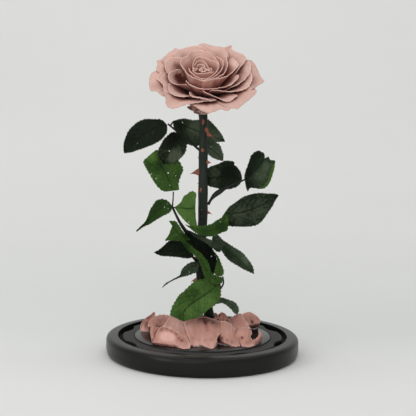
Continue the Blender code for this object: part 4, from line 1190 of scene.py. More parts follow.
def leaf(name, left, right, midrib, depths, facing, material, fold=1.5, ripple=0.5, holes=(), patches=(), tone=0.0,
         seed=0):
    """A leaflet from its edges in pixels. depths are those of base, middle and tip; tone lightens the whole."""
    base = at_depth(midrib[0], depths[0])
    tip = at_depth(midrib[-1], depths[2])
    normal = np.cross(np.cross(tip - base, facing), tip - base)
    normal /= np.linalg.norm(normal)
    length = np.linalg.norm(tip - base)
    t = np.linspace(0.0, 1.0, int(max(FEWEST_ROWS, min(MOST_ROWS, length / ROW_STEP))))
    grid, across = outline_grid(left, midrib, right, t, length, seed)
    points = on_plane(grid, base, normal)
    rays = sight(grid)
    rays /= np.linalg.norm(rays, axis=-1)[..., None]
    bow = depths[1] - (depths[0] + depths[2]) / 2
    points = points + rays * leaf_relief(across[None, :], t[:, None], bow, fold, ripple, seed)[..., None]
    centre = (grid[:-1, :-1] + grid[1:, :-1] + grid[:-1, 1:] + grid[1:, 1:]) / 4
    skip = np.zeros(centre.shape[:2], bool)
    for x, y in holes:
        skip |= np.linalg.norm(centre - np.array((x, y)), axis=-1) < HOLE_PIXELS
    piece = grid_object(name, points, material, skip=skip, shade=painted(points, patches, tone))
    return thicken(piece, LEAF_THICKNESS)


print("teeth:", TOOTH_HEIGHT, "pixels high")

# %% [markdown]
# Preserved leaves are dull and leathery. Side veins leave the midrib at a slant, the blade is puffed up between them
# like a quilt, and a small cellular net fills it. The UV map knows where the midrib is, so a little arithmetic draws
# the side veins from it: a wave that slants outwards, with veins at its peaks and puffs in its valleys. The same wave
# paints the blade lighter beside each side vein and darker between them: painted light and shade on the puffs. A slow
# cloud, a finer crumple, the painted shade and that painted quilt set the tone, and one ramp turns it into colour.

# %% Leaf material
VEIN_SLANT = 4.8
CELL_SCALE = 620.0


def leaf_material(name, dark, middle, light, vein):
    """A leaf's finish: a ramp from dark to light, with veins of their own colour."""
    material, tree, shader = new_material(name, 0.45, Specular_IOR_Level=0.09)
    coordinates = node(tree, "TexCoord")
    on_object = coordinates.outputs["Object"]
    uv = node(tree, "SeparateXYZ", {"Vector": coordinates.outputs["UV"]})
    away = maths(tree, "ABSOLUTE", maths(tree, "SUBTRACT", uv.outputs["X"], 0.5))
    slant = maths(tree, "SUBTRACT", maths(tree, "MULTIPLY", uv.outputs["Y"], SIDE_VEINS),
                  maths(tree, "MULTIPLY", away, VEIN_SLANT))
    wave = maths(tree, "ABSOLUTE", maths(tree, "SUBTRACT", maths(tree, "FRACT", slant), 0.5))
    side_vein = stretch_range(tree, wave, 0.44, 0.5)
    midrib = stretch_range(tree, away, 0.03, 0.012)
    cells = node(tree, "TexVoronoi", {"Vector": on_object, "Scale": CELL_SCALE},
                 feature="DISTANCE_TO_EDGE").outputs["Distance"]
    net = stretch_range(tree, cells, 0.0, 0.12)

    cloud = maths(tree, "SUBTRACT", noise(tree, on_object, 75.0, 6.0), 0.5)
    crumple = noise(tree, on_object, 420.0, 3.0)
    mottle = maths(tree, "ADD", maths(tree, "MULTIPLY", cloud, 0.6),
                   maths(tree, "MULTIPLY", maths(tree, "SUBTRACT", crumple, 0.5), 0.8))
    # Painted light and shade: lighter beside each side vein, darker between them.
    vein_flank_light_and_shade = stretch_range(tree, wave, 0.05, 0.45, -0.07, 0.08)
    shade = node(tree, "Attribute", attribute_name="shade").outputs["Fac"]
    painted_tone = maths(tree, "ADD", maths(tree, "MULTIPLY", shade, 0.5), 0.5)
    tone = maths(tree, "ADD", maths(tree, "ADD", mottle, vein_flank_light_and_shade), painted_tone)

    colour = ramp(tree, tone, (0.0, dark), (0.5, middle), (1.0, light))
    netted = mix(tree, maths(tree, "MULTIPLY", maths(tree, "SUBTRACT", 1.0, net), 0.25), colour, vein)
    ribbed = mix(tree, maths(tree, "MULTIPLY", side_vein, 0.55), netted, vein)
    finished = mix(tree, maths(tree, "MULTIPLY", midrib, 0.7), ribbed, vein)
    tree.links.new(finished, shader.inputs["Base Color"])
    raised = maths(tree, "ADD", maths(tree, "MULTIPLY", net, 0.4), maths(tree, "MULTIPLY", crumple, 2.5))
    sunk = maths(tree, "ADD", maths(tree, "MULTIPLY", side_vein, 0.5), midrib)
    add_bump(tree, shader, maths(tree, "SUBTRACT", raised, sunk), 0.7, 0.0008)
    return material


# %% [markdown]
# Three greens are enough. Most leaflets are nearly black, some are a dusty grey green, and those that turn their backs
# to us or catch the light are a fresh green; on those that catch the light it is painted light. The veins are darker
# than the blade in all three.

# %% Leaf finishes
dark_leaf = leaf_material("dark_leaf", (0.003, 0.006, 0.003), (0.009, 0.0175, 0.0075), (0.074, 0.094, 0.057),
                          (0.005, 0.009, 0.004))
grey_leaf = leaf_material("grey_leaf", (0.007, 0.0135, 0.006), (0.030, 0.0475, 0.025), (0.088, 0.12, 0.074),
                          (0.014, 0.023, 0.011))
bright_leaf = leaf_material("bright_leaf", (0.014, 0.038, 0.006), (0.038, 0.086, 0.0155), (0.095, 0.188, 0.042),
                            (0.014, 0.036, 0.008))
print("leaf finishes:", dark_leaf.name, grey_leaf.name, bright_leaf.name)

# %% [markdown]
# Each call below is one leaflet: left edge, right edge and midrib in pixels, the depths of base, middle and tip in
# millimetres, the direction that the blade faces, and its finish. The name is that of the packed leaflet that it
# stands for. Its patches are painted light and shade. The upper leaflets come first; they hang from the stalk under
# the bloom.

# %% Upper leaflets
leaves = []


def add_leaf(node_name, *arguments, **settings):
    """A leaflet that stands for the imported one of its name, or for none where there is no such node."""
    made = leaf(node_name.replace("leaflet", "leaf_blade"), *arguments, seed=len(leaves), **settings)
    if node_name in frame["nodes"]:
        settle(made, "leaf", node_name)
    else:
        settle(made, "leaf")
    leaves.append(made)


add_leaf("leaflet_upper_end",
    ((167, 125), (163, 120.5), (152, 119), (143, 119.5), (135, 124), (129, 130), (125.5, 137), (123.5, 146),
     (124, 153)),
    ((167, 125), (167, 132), (163, 138), (157, 142.5), (147, 147), (137, 150.5), (130, 152.5), (124, 153)),
    ((167, 125), (150, 131), (140, 138), (131, 147), (124, 153)),
    (14, 11, 4), (-0.2, -0.85, 0.45), dark_leaf, fold=1.5, holes=((137.5, 143),), tone=-0.3,
    patches=((152, 128, 9, 0.25), (133, 138, 5, -0.4)))
add_leaf("leaflet_upper_front",
    ((181, 134), (173, 132), (165, 138), (160, 146), (158, 152), (159, 157), (162, 162), (163, 164)),
    ((181, 134), (187, 143), (186, 150), (183, 156), (178, 160), (172, 163), (163, 164)),
    ((181, 134), (176, 141), (170, 151), (163, 164)),
    (7, -1, -9), (0.25, -0.9, 0.3), dark_leaf, fold=1.8, holes=((169.5, 151),),
    patches=((175, 157, 6.5, 1.9), (172, 138, 7, -1.0)))
add_leaf("leaflet_upper_back",
    ((173, 121), (183, 118.5), (193, 120), (209, 120), (216, 127), (221, 133), (225, 141.5)),
    ((173, 121), (174, 129), (181, 137), (187, 144), (195, 146), (210, 143), (225, 141.5)),
    ((173, 121), (190, 128), (207, 134), (225, 141.5)),
    (16, 22, 25), (0.1, -0.98, 0.12), grey_leaf, fold=1.2, holes=((182.5, 122.5), (211.5, 122.5)),
    patches=((181, 126, 6.5, -1.2), (198, 129, 10, 1.2), (216, 137, 7, 0.9)))
add_leaf("leaflet_upper_right",
    ((199, 140), (209, 141), (219, 144), (222, 150), (223.5, 156), (223, 161)),
    ((199, 142), (204, 149), (208, 154), (213, 158), (219, 160), (223, 161)),
    ((199, 141), (208, 147), (216, 153), (223, 161)),
    (27, 27, 24), (0.3, -0.95, 0.1), grey_leaf, fold=0.8, holes=((211, 147),), tone=1.1)
print("upper leaflets:", len(leaves))

# %% [markdown]
# The middle leaflets spread widest. Those at the left turn their pale backs to us and are a fresh green; those
# at the right are dark. The one at the right end is folded so far along its midrib that a thin bright edge of
# its far half shows beyond it, which is a blade of its own here.

# %% Middle leaflets
add_leaf("leaflet_left_top",
    ((174, 190.5), (163, 191), (157, 186), (153, 180), (150, 175), (147, 170), (144, 164), (143.5, 161),
     (146, 158.5), (151, 154), (156, 150)),
    ((174, 190.5), (179, 189.5), (178.5, 185), (180, 178), (182, 173), (183, 170), (181, 164), (178, 160),
     (168, 152), (156, 150)),
    ((173, 190), (168, 178), (161, 164), (156, 150)),
    (-7.5, 1, 9), (-0.2, -0.95, 0.1), bright_leaf, fold=2.0, ripple=0.7,
    holes=((156, 178.5), (175.5, 176), (168, 173), (169.5, 185.5), (151, 174)),
    patches=((152, 156, 6, 1.0), (160, 166, 6, -1.0), (150, 166, 5, -0.5), (165, 181, 7, -0.35),
             (158, 176, 3, 0.3), (178, 176, 4, -0.3)))
add_leaf("leaflet_left_long",
    ((172.5, 207), (168, 201), (165, 199.5), (157, 200), (153, 205), (150, 210), (148, 216), (145, 222),
     (141, 226), (136, 231)),
    ((172.5, 207), (171, 211), (163, 216), (156, 220), (150, 224), (143, 227), (137, 231.5)),
    ((172.5, 207), (160, 209), (152, 217), (145, 224), (136.5, 231.5)),
    (-11, -15, -18), (0.2, -0.85, 0.45), bright_leaf, fold=1.6,
    holes=((167, 204), (164.5, 207.5), (168, 208)),
    patches=((158, 204, 6, -0.6), (140, 228, 6, -0.5), (156, 213, 5, -0.2)), tone=-0.5)
add_leaf("leaflet_left_inner",
    ((175, 207), (181, 202), (184, 196), (187, 194), (191, 191.5), (194, 191.5), (196, 194), (195.7, 200),
     (195.3, 208)),
    ((175, 208), (179, 214), (183, 219), (188, 224), (191, 226), (196, 226.5), (195.8, 218), (195.3, 208)),
    ((175, 207.5), (182, 208), (189, 208.8), (195.3, 208)),
    (-11.5, -11, -6), (0.3, -0.95, 0.1), bright_leaf, fold=1.2, holes=((184, 203.5), (189, 222)),
    patches=((190, 198, 6, 0.4), (185, 213, 5, 0.2)), tone=0.95)
add_leaf("leaflet_left_low",
    ((190, 239), (186, 235), (182, 230), (179, 225), (176, 221.5), (169, 221)),
    ((190, 240), (180, 241), (171, 240.5), (165, 240.5), (168, 236), (171, 229), (174, 222), (169, 221)),
    ((190, 239.5), (180, 234), (174, 228), (169, 221)),
    (-11, -12, -11), (-0.2, -0.95, 0.2), bright_leaf, fold=0.8,
    patches=((172, 236, 5, 0.1), (186, 236, 4, -0.8)), tone=-0.1)
add_leaf("leaflet_right_inner",
    ((242, 178.5), (241, 173), (237, 167), (234.5, 165), (234, 162), (231, 161), (226, 160.5), (220, 163),
     (212, 166), (205, 169)),
    ((242, 178.5), (240, 184), (238, 186), (232, 188.5), (226, 189.5), (218, 188.5), (212, 187), (205, 185)),
    ((242, 178.5), (224, 177), (207, 178.5), (203, 178.5)),
    (7, 12, 17), (-0.1, -0.98, 0.08), dark_leaf, fold=1.2,
    patches=((229, 172, 7, -1.6), (214, 172, 7, 0.5), (214, 183, 6, 0.25)))
add_leaf("leaflet_right_end",
    ((245, 180), (244.5, 178), (246, 170), (249, 162), (251, 156), (255, 152), (258, 150.5), (262, 152),
     (264.5, 154.5), (264.5, 158.5)),
    ((245, 180), (246, 187), (247.8, 191.3), (250.5, 187.6), (254, 188.5), (262, 187), (267, 183), (270, 176),
     (273, 168), (275, 160.5), (270, 160), (269, 157), (264.5, 158.5)),
    ((245, 180), (253, 173), (260, 165), (264.5, 158.5)),
    (3, 0, -4), (0.3, -0.95, -0.1), grey_leaf, fold=4.0, ripple=0.8,
    patches=((251, 160, 8, -1.3), (249, 172, 5, -1.2), (248, 184, 6, -1.2), (258, 154, 5, -0.8), (261, 176, 7, 0.8),
             (266, 166, 4, 0.9)))
add_leaf("leaf_blade_end_edge",
    ((257, 188.8), (262.5, 186.6), (267, 181.5), (269.6, 174.5), (271.8, 167), (275, 160.5)),
    ((257, 188.8), (264, 188.4), (268.8, 184), (271.8, 177), (274.2, 169), (275, 160.5)),
    ((257, 188.8), (263.2, 187.5), (268, 182.7), (270.8, 175.7), (273, 168), (275, 160.5)),
    (-3, -7, -9), (0.3, -0.95, -0.1), bright_leaf, fold=0.3, ripple=0.2, tone=0.5)
add_leaf("leaflet_right_long",
    ((224, 214), (229, 207), (236, 202), (243, 197), (250, 194.5), (258, 193), (268, 193.5), (277, 194.5),
     (278.5, 195.5)),
    ((224, 214), (228, 225.5), (238, 226.5), (250, 226.5), (257, 225), (262, 221), (267, 214), (272, 207),
     (275, 201), (278.5, 195.5)),
    ((224, 214), (242, 212), (262, 205), (278.5, 195.5)),
    (-4, -8, -10), (0.2, -0.85, 0.45), dark_leaf, fold=1.2,
    patches=((240, 214, 9, 0.58), (262, 208, 9, 0.42), (250, 202, 6, 0.1), (256, 220, 5, 0.2)))
add_leaf("leaflet_bright_front",
    ((226, 213), (224, 214), (221, 218), (217, 220), (212, 223.5), (205, 225.5), (197, 226), (190, 226),
     (185, 224.5)),
    ((226, 213), (228, 219), (228.5, 224), (227, 230.5), (222, 232.5), (217, 235), (210, 236.5), (203, 235.5),
     (196, 233), (191, 229), (185, 224.5)),
    ((226, 213), (222, 225), (212, 230), (200, 230), (185, 224.5)),
    (-10, -18, -17.5), (0, -0.8, 0.6), bright_leaf, fold=1.6, holes=((220.5, 222),),
    patches=((222, 227, 6, -1.3), (206, 233, 6, -0.8), (196, 227, 5, 0.1), (213, 226, 5, -0.3)))
print("upper and middle leaflets:", len(leaves))

# %% [markdown]
# The lower leaflets hang round the foot of the stem. Three blades behind them are seen only as dark shapes between
# the bright ones. They stand for no packed leaflet and fill the gaps through which the wall would otherwise shine.
# The two shaded ones are dark sheets where there is only shade, and their lowest tone is painted shade.

# %% Lower leaflets
add_leaf("leaflet_lower_right",
    ((213, 236), (218, 235), (222, 239), (229, 244), (237, 249), (243, 253), (248, 259), (251, 263),
     (253.5, 269), (254, 274)),
    ((212, 240), (213, 247), (221, 250), (225, 256), (230, 261), (238, 266), (244, 269.5), (250, 272),
     (254, 274)),
    ((212, 238), (226, 249), (242, 262), (254, 274)),
    (-6.5, -14, -20), (0.2, -0.85, 0.5), grey_leaf, fold=2.5,
    patches=((227, 254, 8, -1.0), (240, 264, 5, -0.8), (245, 260, 5, 1.0), (233, 250, 4, 0.5)), tone=0.25)
add_leaf("leaflet_lower_left",
    ((196, 243), (188, 240), (180, 240.5), (169, 241), (165, 244.5), (160, 249), (154, 252.5)),
    ((196, 246), (191, 258), (185, 258.3), (180, 257.5), (170, 256.5), (160, 255.5), (154, 252.5)),
    ((196, 245), (182, 250), (168, 251), (154, 252.5)),
    (1.5, -3.5, -8), (0, -0.99, 0.05), dark_leaf, fold=0.6, tone=-0.35, patches=((170, 253, 6, 0.2),))
add_leaf("leaflet_curled_left",
    ((199, 260), (196, 261), (189, 263), (184, 267), (181.5, 270), (180, 275), (175, 278), (170, 281),
     (165, 284), (162, 288)),
    ((199, 268), (198, 271), (192, 274), (186, 276), (180, 277.5), (175, 279.5), (170, 282), (165.5, 285),
     (162, 288)),
    ((199, 264), (191, 268), (183, 274), (176, 279), (169, 282.2), (162, 288)),
    (1.5, -3, -8), (-0.1, -0.9, 0.4), grey_leaf, fold=0.8, holes=((189.5, 272),),
    patches=((190, 267, 5, 0.3),))
add_leaf("leaflet_hanging",
    ((181, 236), (181.5, 241), (184.5, 246), (189, 250.8), (194, 255), (198, 259), (200.3, 264), (202, 269),
     (203.5, 274), (205.5, 279), (210.5, 282.5), (217, 284), (221.5, 283.3)),
    ((181, 236), (184.5, 239.5), (190, 244.5), (196, 249.5), (201.5, 253.5), (205.5, 258.5), (209, 264),
     (210.6, 270), (213.5, 274), (218, 276.2), (222, 277.5), (222.6, 280.5), (221.5, 283.3)),
    ((181, 237), (186, 246), (196, 254), (203, 263), (208, 272), (214.5, 279), (221.5, 283.3)),
    (-14.5, -16.5, -15), (0.3, -0.9, 0.3), bright_leaf, fold=1.2, patches=((186, 246, 5, -0.9), (196, 256, 5, 0.3)))
add_leaf("leaflet_small_right",
    ((219, 276), (216, 275.5), (214.5, 273), (216, 265), (217, 259), (215, 254), (212.5, 250)),
    ((219, 276), (222, 276), (224, 272), (223, 268), (221, 263), (219.5, 259), (217, 255), (212.5, 250)),
    ((219, 276), (219.5, 268), (218, 259), (212.5, 250)),
    (-2.5, -5, -7), (0.3, -0.95, 0.1), bright_leaf, fold=1.0, patches=((220, 268, 5, 0.7),), tone=0.3)
add_leaf("leaflet_bottom_large",
    ((219, 283.5), (218, 283), (212, 279), (203, 279), (195, 281), (189, 286), (184, 291), (180, 294),
     (176, 300), (173, 305), (171, 310), (170.5, 315), (176, 318), (183.5, 321.5)),
    ((219, 283.5), (220, 287), (221, 295), (219, 301), (214, 306), (208, 310), (202, 315), (195, 318.5),
     (188, 320), (183.5, 321.5)),
    ((219, 283.5), (213, 289), (205, 295), (197, 300), (189, 306), (184, 311), (183.5, 321.5)),
    (-10.5, -20, -26), (0.1, -0.9, 0.4), bright_leaf, fold=1.6, ripple=0.8, tone=0.3,
    patches=((185, 310.3, 0.9, -3.0), (194, 293, 5, -0.7), (180, 315, 5, -0.6), (206, 303, 8, 0.6),
             (188, 311, 6, 0.7), (200, 285, 6, 0.5)))
add_leaf("leaflet_bottom_right",
    ((217, 299), (221, 297.5), (228, 299.5), (234, 302), (238, 306), (239, 310), (237.5, 314)),
    ((217, 301), (217, 303.5), (222, 303), (227, 305.5), (230, 308), (235, 313.5), (237.5, 314)),
    ((217, 300), (226, 302), (233, 306.5), (237.5, 314)),
    (5, 2, -4), (0.3, -0.6, 0.7), grey_leaf, fold=1.0, tone=0.55)
add_leaf("leaf_blade_behind",
    ((190, 231), (197, 234), (205, 237.5), (212, 240.5), (218, 244.5), (221.3, 249), (220, 252)),
    ((190, 231), (194, 236.5), (200, 239.5), (207, 243.5), (213, 248.6), (217, 251.6), (220, 252)),
    ((190, 231), (197, 236), (205, 240.5), (212, 244.5), (217, 248), (220, 252)),
    (-12, -13, -10), (0.3, -0.8, 0.5), grey_leaf, fold=0.6, patches=((207, 243, 9, 0.8),))
add_leaf("leaf_blade_shaded_left",
    ((183.5, 228.5), (185, 234), (187, 239.5), (189, 245), (194, 251), (200, 256.5), (206, 258.5)),
    ((183.5, 228.5), (191, 231.5), (197, 236.5), (203, 240.5), (207, 248), (206, 258.5)),
    ((183.5, 228.5), (189, 235), (195, 242), (201, 249), (206, 258.5)),
    (-5, -6.5, -5), (0.1, -0.95, 0.2), dark_leaf, fold=0.5, ripple=0.8, tone=-1.0)
add_leaf("leaf_blade_shaded_right",
    ((203, 241), (201, 250), (202, 259), (205.5, 267), (209, 273), (213.5, 275.5)),
    ((203, 241), (210, 244.5), (214, 251.5), (217, 260), (216, 268), (213.5, 275)),
    ((203, 241), (207, 250), (211, 260), (213.5, 275)),
    (-1.5, -3.5, -4), (0.1, -0.95, 0.2), dark_leaf, fold=0.5, ripple=0.8, holes=((211.3, 256.3),), tone=-1.0)
print("leaflets:", len(leaves))

# %% [markdown]
# Fallen petals lie in a loose heap on the disc. Each is modelled from a small net of points and smoothed in
# both directions, as one would pull at the corners of a subdivided plane. As with the leaflets, a point is a
# pixel of the photograph and a depth. A cloth simulation would fall flat: these petals are dry and stiff.

# %% Nets of points
LIFT_OFF_DISC = 0.35
DISC = math.nan


def smooth_net(net, rows, columns):
    """A smooth grid through a small net of points."""
    down = np.stack([hermite(np.arange(len(net), dtype=float), net[:, c], np.linspace(0, len(net) - 1, rows))
                     for c in range(net.shape[1])], 1)
    return np.stack([hermite(np.arange(net.shape[1], dtype=float), down[r], np.linspace(0, net.shape[1] - 1, columns))
                     for r in range(rows)], 0)


def on_disc(pixels):
    """Depths of the points seen at those pixels on the top of the disc."""
    rays = sight(pixels)
    return EYE[1] + rays[..., 1] * (DISC_TOP + LIFT_OFF_DISC - EYE[2]) / rays[..., 2]


print("the pixel (200, 340) of the disc is at depth", on_disc(np.array((200.0, 340.0))).round(1))

# %% [markdown]
# The builder adds what a small net can't hold: slanting wrinkles, deeper towards the edges, a slightly ragged outline
# and a paler edge, partly the petal's own and partly a painted highlight. Patches of painted shade and painted light
# mark creases, gaps and lit rims. Fallen petals have dried further than the bloom, so their rose is browner.

# %% Fallen petal builder
NET_ROWS, NET_COLUMNS = 48, 56
FALLEN_THICKNESS = 0.5
LOWEST_POINT = DISC_TOP + 0.3
RAGGED_PIXELS = 0.22
fallen_rose = petal_material("fallen_rose", (0.53, 0.265, 0.21), (0.61, 0.33, 0.27), (0.63, 0.355, 0.30), 26.0, 0.12)


def fallen(name, net, seed, *nodes, patches=(), wrinkles=0.3, pale_lip_and_highlight=0.7):
    """A sheet from a net of (pixel x, pixel y, depth); a depth of DISC means that the point lies on the disc."""
    net = np.array(net, float)
    lying = np.isnan(net[..., 2])
    net[lying, 2] = on_disc(net[lying, :2])
    fine = smooth_net(net, NET_ROWS, NET_COLUMNS)
    rows, columns = np.linspace(0, 1, NET_ROWS)[:, None], np.linspace(0, 1, NET_COLUMNS)[None, :]
    edge = np.maximum(np.abs(rows - 0.5), np.abs(columns - 0.5)) * 2
    phases = np.random.default_rng(seed).uniform(0, 6.3, 6)
    wrinkle = (np.sin(rows * 9 + columns * 15 + phases[0]) + np.sin(columns * 27 - rows * 5 + phases[1])
               + 0.7 * np.sin(rows * 23 + phases[2]) + 0.6 * np.sin(columns * 43 + rows * 3 + phases[3]))
    fine[..., 2] += wrinkles * wrinkle * (0.4 + edge ** 3)
    ragged = np.sin(columns * 31 + phases[4]) + np.sin(rows * 37 + phases[5])
    fine[..., 1] += RAGGED_PIXELS * ragged * smooth_step(0.85, 1.0, edge)
    points = at_depth(fine[..., :2], fine[..., 2])
    points[..., 2] = np.maximum(points[..., 2], LOWEST_POINT)
    # The pale edge is partly the petal's own and partly a painted highlight; the patches are painted light and shade.
    shade = pale_lip_and_highlight * smooth_step(0.9, 0.97, edge) + painted(points, patches)
    made = thicken(grid_object(name, points, fallen_rose, shade=shade), FALLEN_THICKNESS)
    return settle(made, "fallen_petal", *nodes)


print("each fallen petal has", NET_ROWS, "by", NET_COLUMNS, "points")

# %% [markdown]
# At the left a narrow petal stands on its edge, two more lean against each other, and one lies open in front
# like a shallow bowl. Its rolled left edge shows both its faces, so that edge is a sheet of its own.

# %% Fallen petals at the left
fallen("loose_petal_left",
    (((152.3, 314, 14), (153.8, 312, 15), (155, 312.6, 15)),
     ((146.4, 317.6, 11), (150, 317, 12), (154.4, 318, 11)),
     ((142.2, 321.9, 11), (146, 322, 9), (151.7, 322, 10)),
     ((140.5, 327, 13), (144, 326.8, 10), (149.5, 326.5, 11)),
     ((141.5, 331, DISC), (145, 331.7, DISC), (149.5, 331.2, DISC))), 1, "fallen_petal_left",
    patches=((149, 317, 6, -0.3), (146, 323, 6, -0.2), (142.5, 328.5, 3.5, 0.9)))
fallen("loose_petal_back_left",
    (((151.3, 319.3, 4), (156, 316.4, 8), (161, 315, 10), (166, 315.2, 10), (171, 316.5, 8)),
     ((149, 322, -2), (154.5, 319.5, 0), (161, 318, 2), (166.5, 318, 3), (171, 318.5, 3)),
     ((148, 325, -6), (153.5, 323.5, -6), (160, 322, -5), (166, 321.5, -3), (171, 321, -2)),
     ((148.5, 327.2, -8), (153.5, 327.3, -9), (160, 326.8, -8), (165.5, 326, -7), (170.5, 325, -5)),
     ((149.5, 331.6, DISC), (154, 332.3, DISC), (160, 332.5, DISC), (165.5, 332, DISC), (170.5, 331.5, DISC))),
    2, "fallen_petal_back_left", patches=((157, 330, 4, -0.5), (160, 322, 9, -0.5)))
fallen("loose_petal_leaning_left",
    (((170, 316.3, -4), (175, 317.2, -6), (180, 318, -8), (185, 319.5, -12), (189, 323, -16)),
     ((168, 319, -10), (173.5, 320.5, -13), (179, 322.5, -16), (184.5, 326, -20), (189, 331, -25)),
     ((165.8, 322.3, -18), (171.5, 324.8, -21), (177.5, 328, -24), (184, 332, -29), (189.5, 337, -34)),
     ((163.6, 325.6, -25), (168.6, 328.3, -28), (175, 331.8, -32), (182.5, 336.3, -37), (189.8, 342, -42)),
     ((163.8, 327, -23), (169, 330.3, -26), (175.5, 333.8, -30), (183, 338.3, -35), (189.5, 344, -40)),
     ((165.5, 336, DISC), (170.5, 339.5, DISC), (176, 342.5, DISC), (182.5, 345, DISC), (188.5, 346.5, DISC))),
    5, "fallen_petal_leaning_left", pale_lip_and_highlight=0.3,
    patches=((163.5, 325.5, 2.2, 0.8), (170, 329, 2.2, 0.8), (177, 333, 2.2, 0.8), (184, 337.4, 2.2, 0.8),
             (172, 335, 4, -0.5), (180, 340, 4, -0.5), (176, 324, 7, 0.9)))
fallen("loose_petal_front_left",
    (((153.8, 339.3, -36), (157.2, 331.5, -32), (162, 326.2, -29), (169, 328.6, -32), (177, 332.7, -37),
      (186.5, 338.2, -43.5)),
     ((153.3, 340.6, -39), (158.2, 336.3, -37.5), (164, 331.7, -34.5), (170.5, 332.3, -36), (177.8, 335.6, -40),
      (188, 339.8, -45)),
     ((153, 341.2, -40.5), (158.4, 338.7, -41), (164.5, 336.2, -39.5), (171, 336.5, -41), (178.3, 338.5, -43.5),
      (189, 341, -46)),
     ((152.8, 341.6, -41), (158.5, 341, -44), (165, 341.4, -45.5), (171.5, 341.2, -46.5), (179, 341.6, -47),
      (189.7, 342.5, -47)),
     ((152.6, 342.3, -41), (158, 343, -44.5), (165, 343.8, -46.5), (172, 344.2, -48.5), (180, 344.5, -50),
      (190.5, 345, -48)),
     ((153.5, 343.6, DISC), (159, 345.1, DISC), (166, 345.9, DISC), (174, 346.8, DISC), (183, 348.7, DISC),
      (190, 348.4, DISC))), 3, "fallen_petal_front_left", wrinkles=0.35,
    patches=((165, 336.3, 5, 1.6), (171.5, 337.5, 4, 1.3), (161.5, 329.5, 2.6, -0.8), (167, 329.3, 2.2, -0.7),
             (156, 344.5, 4, -0.15), (182, 340.5, 1.8, -0.8), (179, 338.5, 1.6, -0.7),
             (176, 334, 2.2, -0.8), (171.5, 331, 2, -0.7), (187, 344, 3, -0.2)))
fallen("loose_petal_curl_left",
    (((151.6, 326.8, -27), (154, 326, -28), (158.5, 327.3, -26), (164.5, 328.6, -24)),
     ((150.6, 330, -29), (153, 330, -31.5), (158, 330.3, -29), (165, 331.5, -26)),
     ((150.5, 334, -32), (152.5, 334, -34.5), (157, 334.5, -32), (165, 334.8, -28)),
     ((151, 338, -34), (152.6, 338.5, -36.5), (156, 338.5, -35), (164, 338, -30)),
     ((152, 342.3, DISC), (153, 342.8, DISC), (155.5, 342.5, DISC), (162, 341.5, DISC))), 4,
    patches=((155.5, 333, 2, -0.5),))

# %% [markdown]
# The broad petal in the middle slopes down to the front and is dark brown at its top. Its dark spot is a row of
# patches that get smaller downwards; other patches paint shade along a crease above its rolled front edge and light
# on that edge. The next petal leans on it.

# %% Fallen petals in the middle
fallen("loose_petal_centre",
    (((183, 320.5, -13), (190, 318.5, -10), (197, 317.2, -9), (204, 317, -9), (211, 318.5, -10), (217, 320.5, -12),
      (222, 322.5, -15)),
     ((184, 325, -20), (190.5, 323, -17), (197.5, 321.5, -15.5), (204, 321.5, -17), (210.5, 322.5, -18),
      (216.5, 324, -18.5), (222, 326, -20)),
     ((186, 330.5, -27), (191.5, 328.5, -24), (198, 327, -22.5), (204.5, 326.8, -24.5), (211, 327.5, -25),
      (217, 328.5, -25.5), (222, 329.5, -26)),
     ((188, 336, -35), (193.5, 334, -31.5), (199, 332.8, -30), (205, 332.5, -31), (211, 332.5, -31),
      (216.5, 332.5, -31), (221.5, 332, -30)),
     ((189.5, 341, -42), (195, 339.5, -39), (200, 338.5, -37), (206, 338.5, -37), (211, 338, -37),
      (215.5, 337, -36.5), (219, 335.5, -35)),
     ((190.3, 344.5, -46), (195.5, 344.3, -45), (200, 343.5, -43.5), (206, 344.5, -45), (211.5, 345.5, -46.5),
      (216, 342.5, -43), (216.6, 339.5, -40)),
     ((190.5, 346.1, DISC), (195.5, 346.9, DISC), (200.5, 345.9, DISC), (206, 347.3, DISC), (212, 348.7, DISC),
      (217.6, 344.7, DISC), (217.4, 341, -41))), 6, "fallen_petal_centre", wrinkles=0.5,
    patches=((204, 318.5, 3.5, -1.2), (205.5, 322.5, 2.4, -0.9), (206.5, 326.5, 1.9, -0.6), (207.5, 330, 1.8, -0.4),
             (210, 319.5, 3.5, -0.8), (213, 323, 2.5, -0.6), (216, 326.5, 2.5, -0.35), (217, 321.5, 3.5, -0.6),
             (221, 324, 3, -0.4), (199, 319, 3, -0.6), (198, 323, 2, -0.3), (193, 320, 3, -0.25), (193, 338.5, 2, -0.3),
             (199, 339.5, 2, -0.3), (205, 340.5, 2, -0.3), (211, 339.5, 2, -0.3), (215.5, 336, 2, -0.3),
             (196, 344, 2.5, 0.4), (204, 345, 2.5, 0.4), (211, 345.5, 2.5, 0.4), (189, 328, 5, 0.4),
             (200, 341, 7, 0.15)))
fallen("loose_petal_front_right",
    (((219, 321.3, -13), (224, 321, -12.5), (228, 322.5, -13.5), (232, 325.8, -16), (235.5, 330, -20)),
     ((218, 326, -19), (223, 325.5, -20), (228, 327, -21.5), (232.5, 330.3, -23), (236.5, 334.5, -26)),
     ((217.5, 331, -25), (222.5, 331, -28.5), (228, 332.5, -30.5), (233, 335.5, -32), (238, 339, -32)),
     ((216, 336, -29), (222.5, 336.5, -36), (228, 338.5, -38), (234, 341, -38.5), (239.3, 342.5, -37)),
     ((216.5, 339.5, -31), (223.3, 341.5, -38), (228.5, 344, -41), (234.5, 345.6, -42), (240, 345.4, -40)),
     ((217, 343, DISC), (223.5, 344.3, DISC), (229, 345.5, DISC), (235, 346.7, DISC), (240.3, 346.4, DISC))),
    7, "fallen_petal_front_right",
    patches=((218.5, 340, 3, -1.3), (218.5, 335, 2.5, -0.8), (229, 331, 5, 0.25), (224, 341.8, 2, 0.5),
             (222.5, 338, 1.8, -0.6), (227, 340.5, 1.8, -0.6), (232, 342.3, 1.8, -0.5), (236.5, 332, 2, -0.4)))

# %% [markdown]
# At the right one petal leans over a small bowl whose tip curls up and back in a ring. The curl is a strip of
# its own that starts on the bowl's edge. Two half-hidden petals behind the stem's foot close the heap.

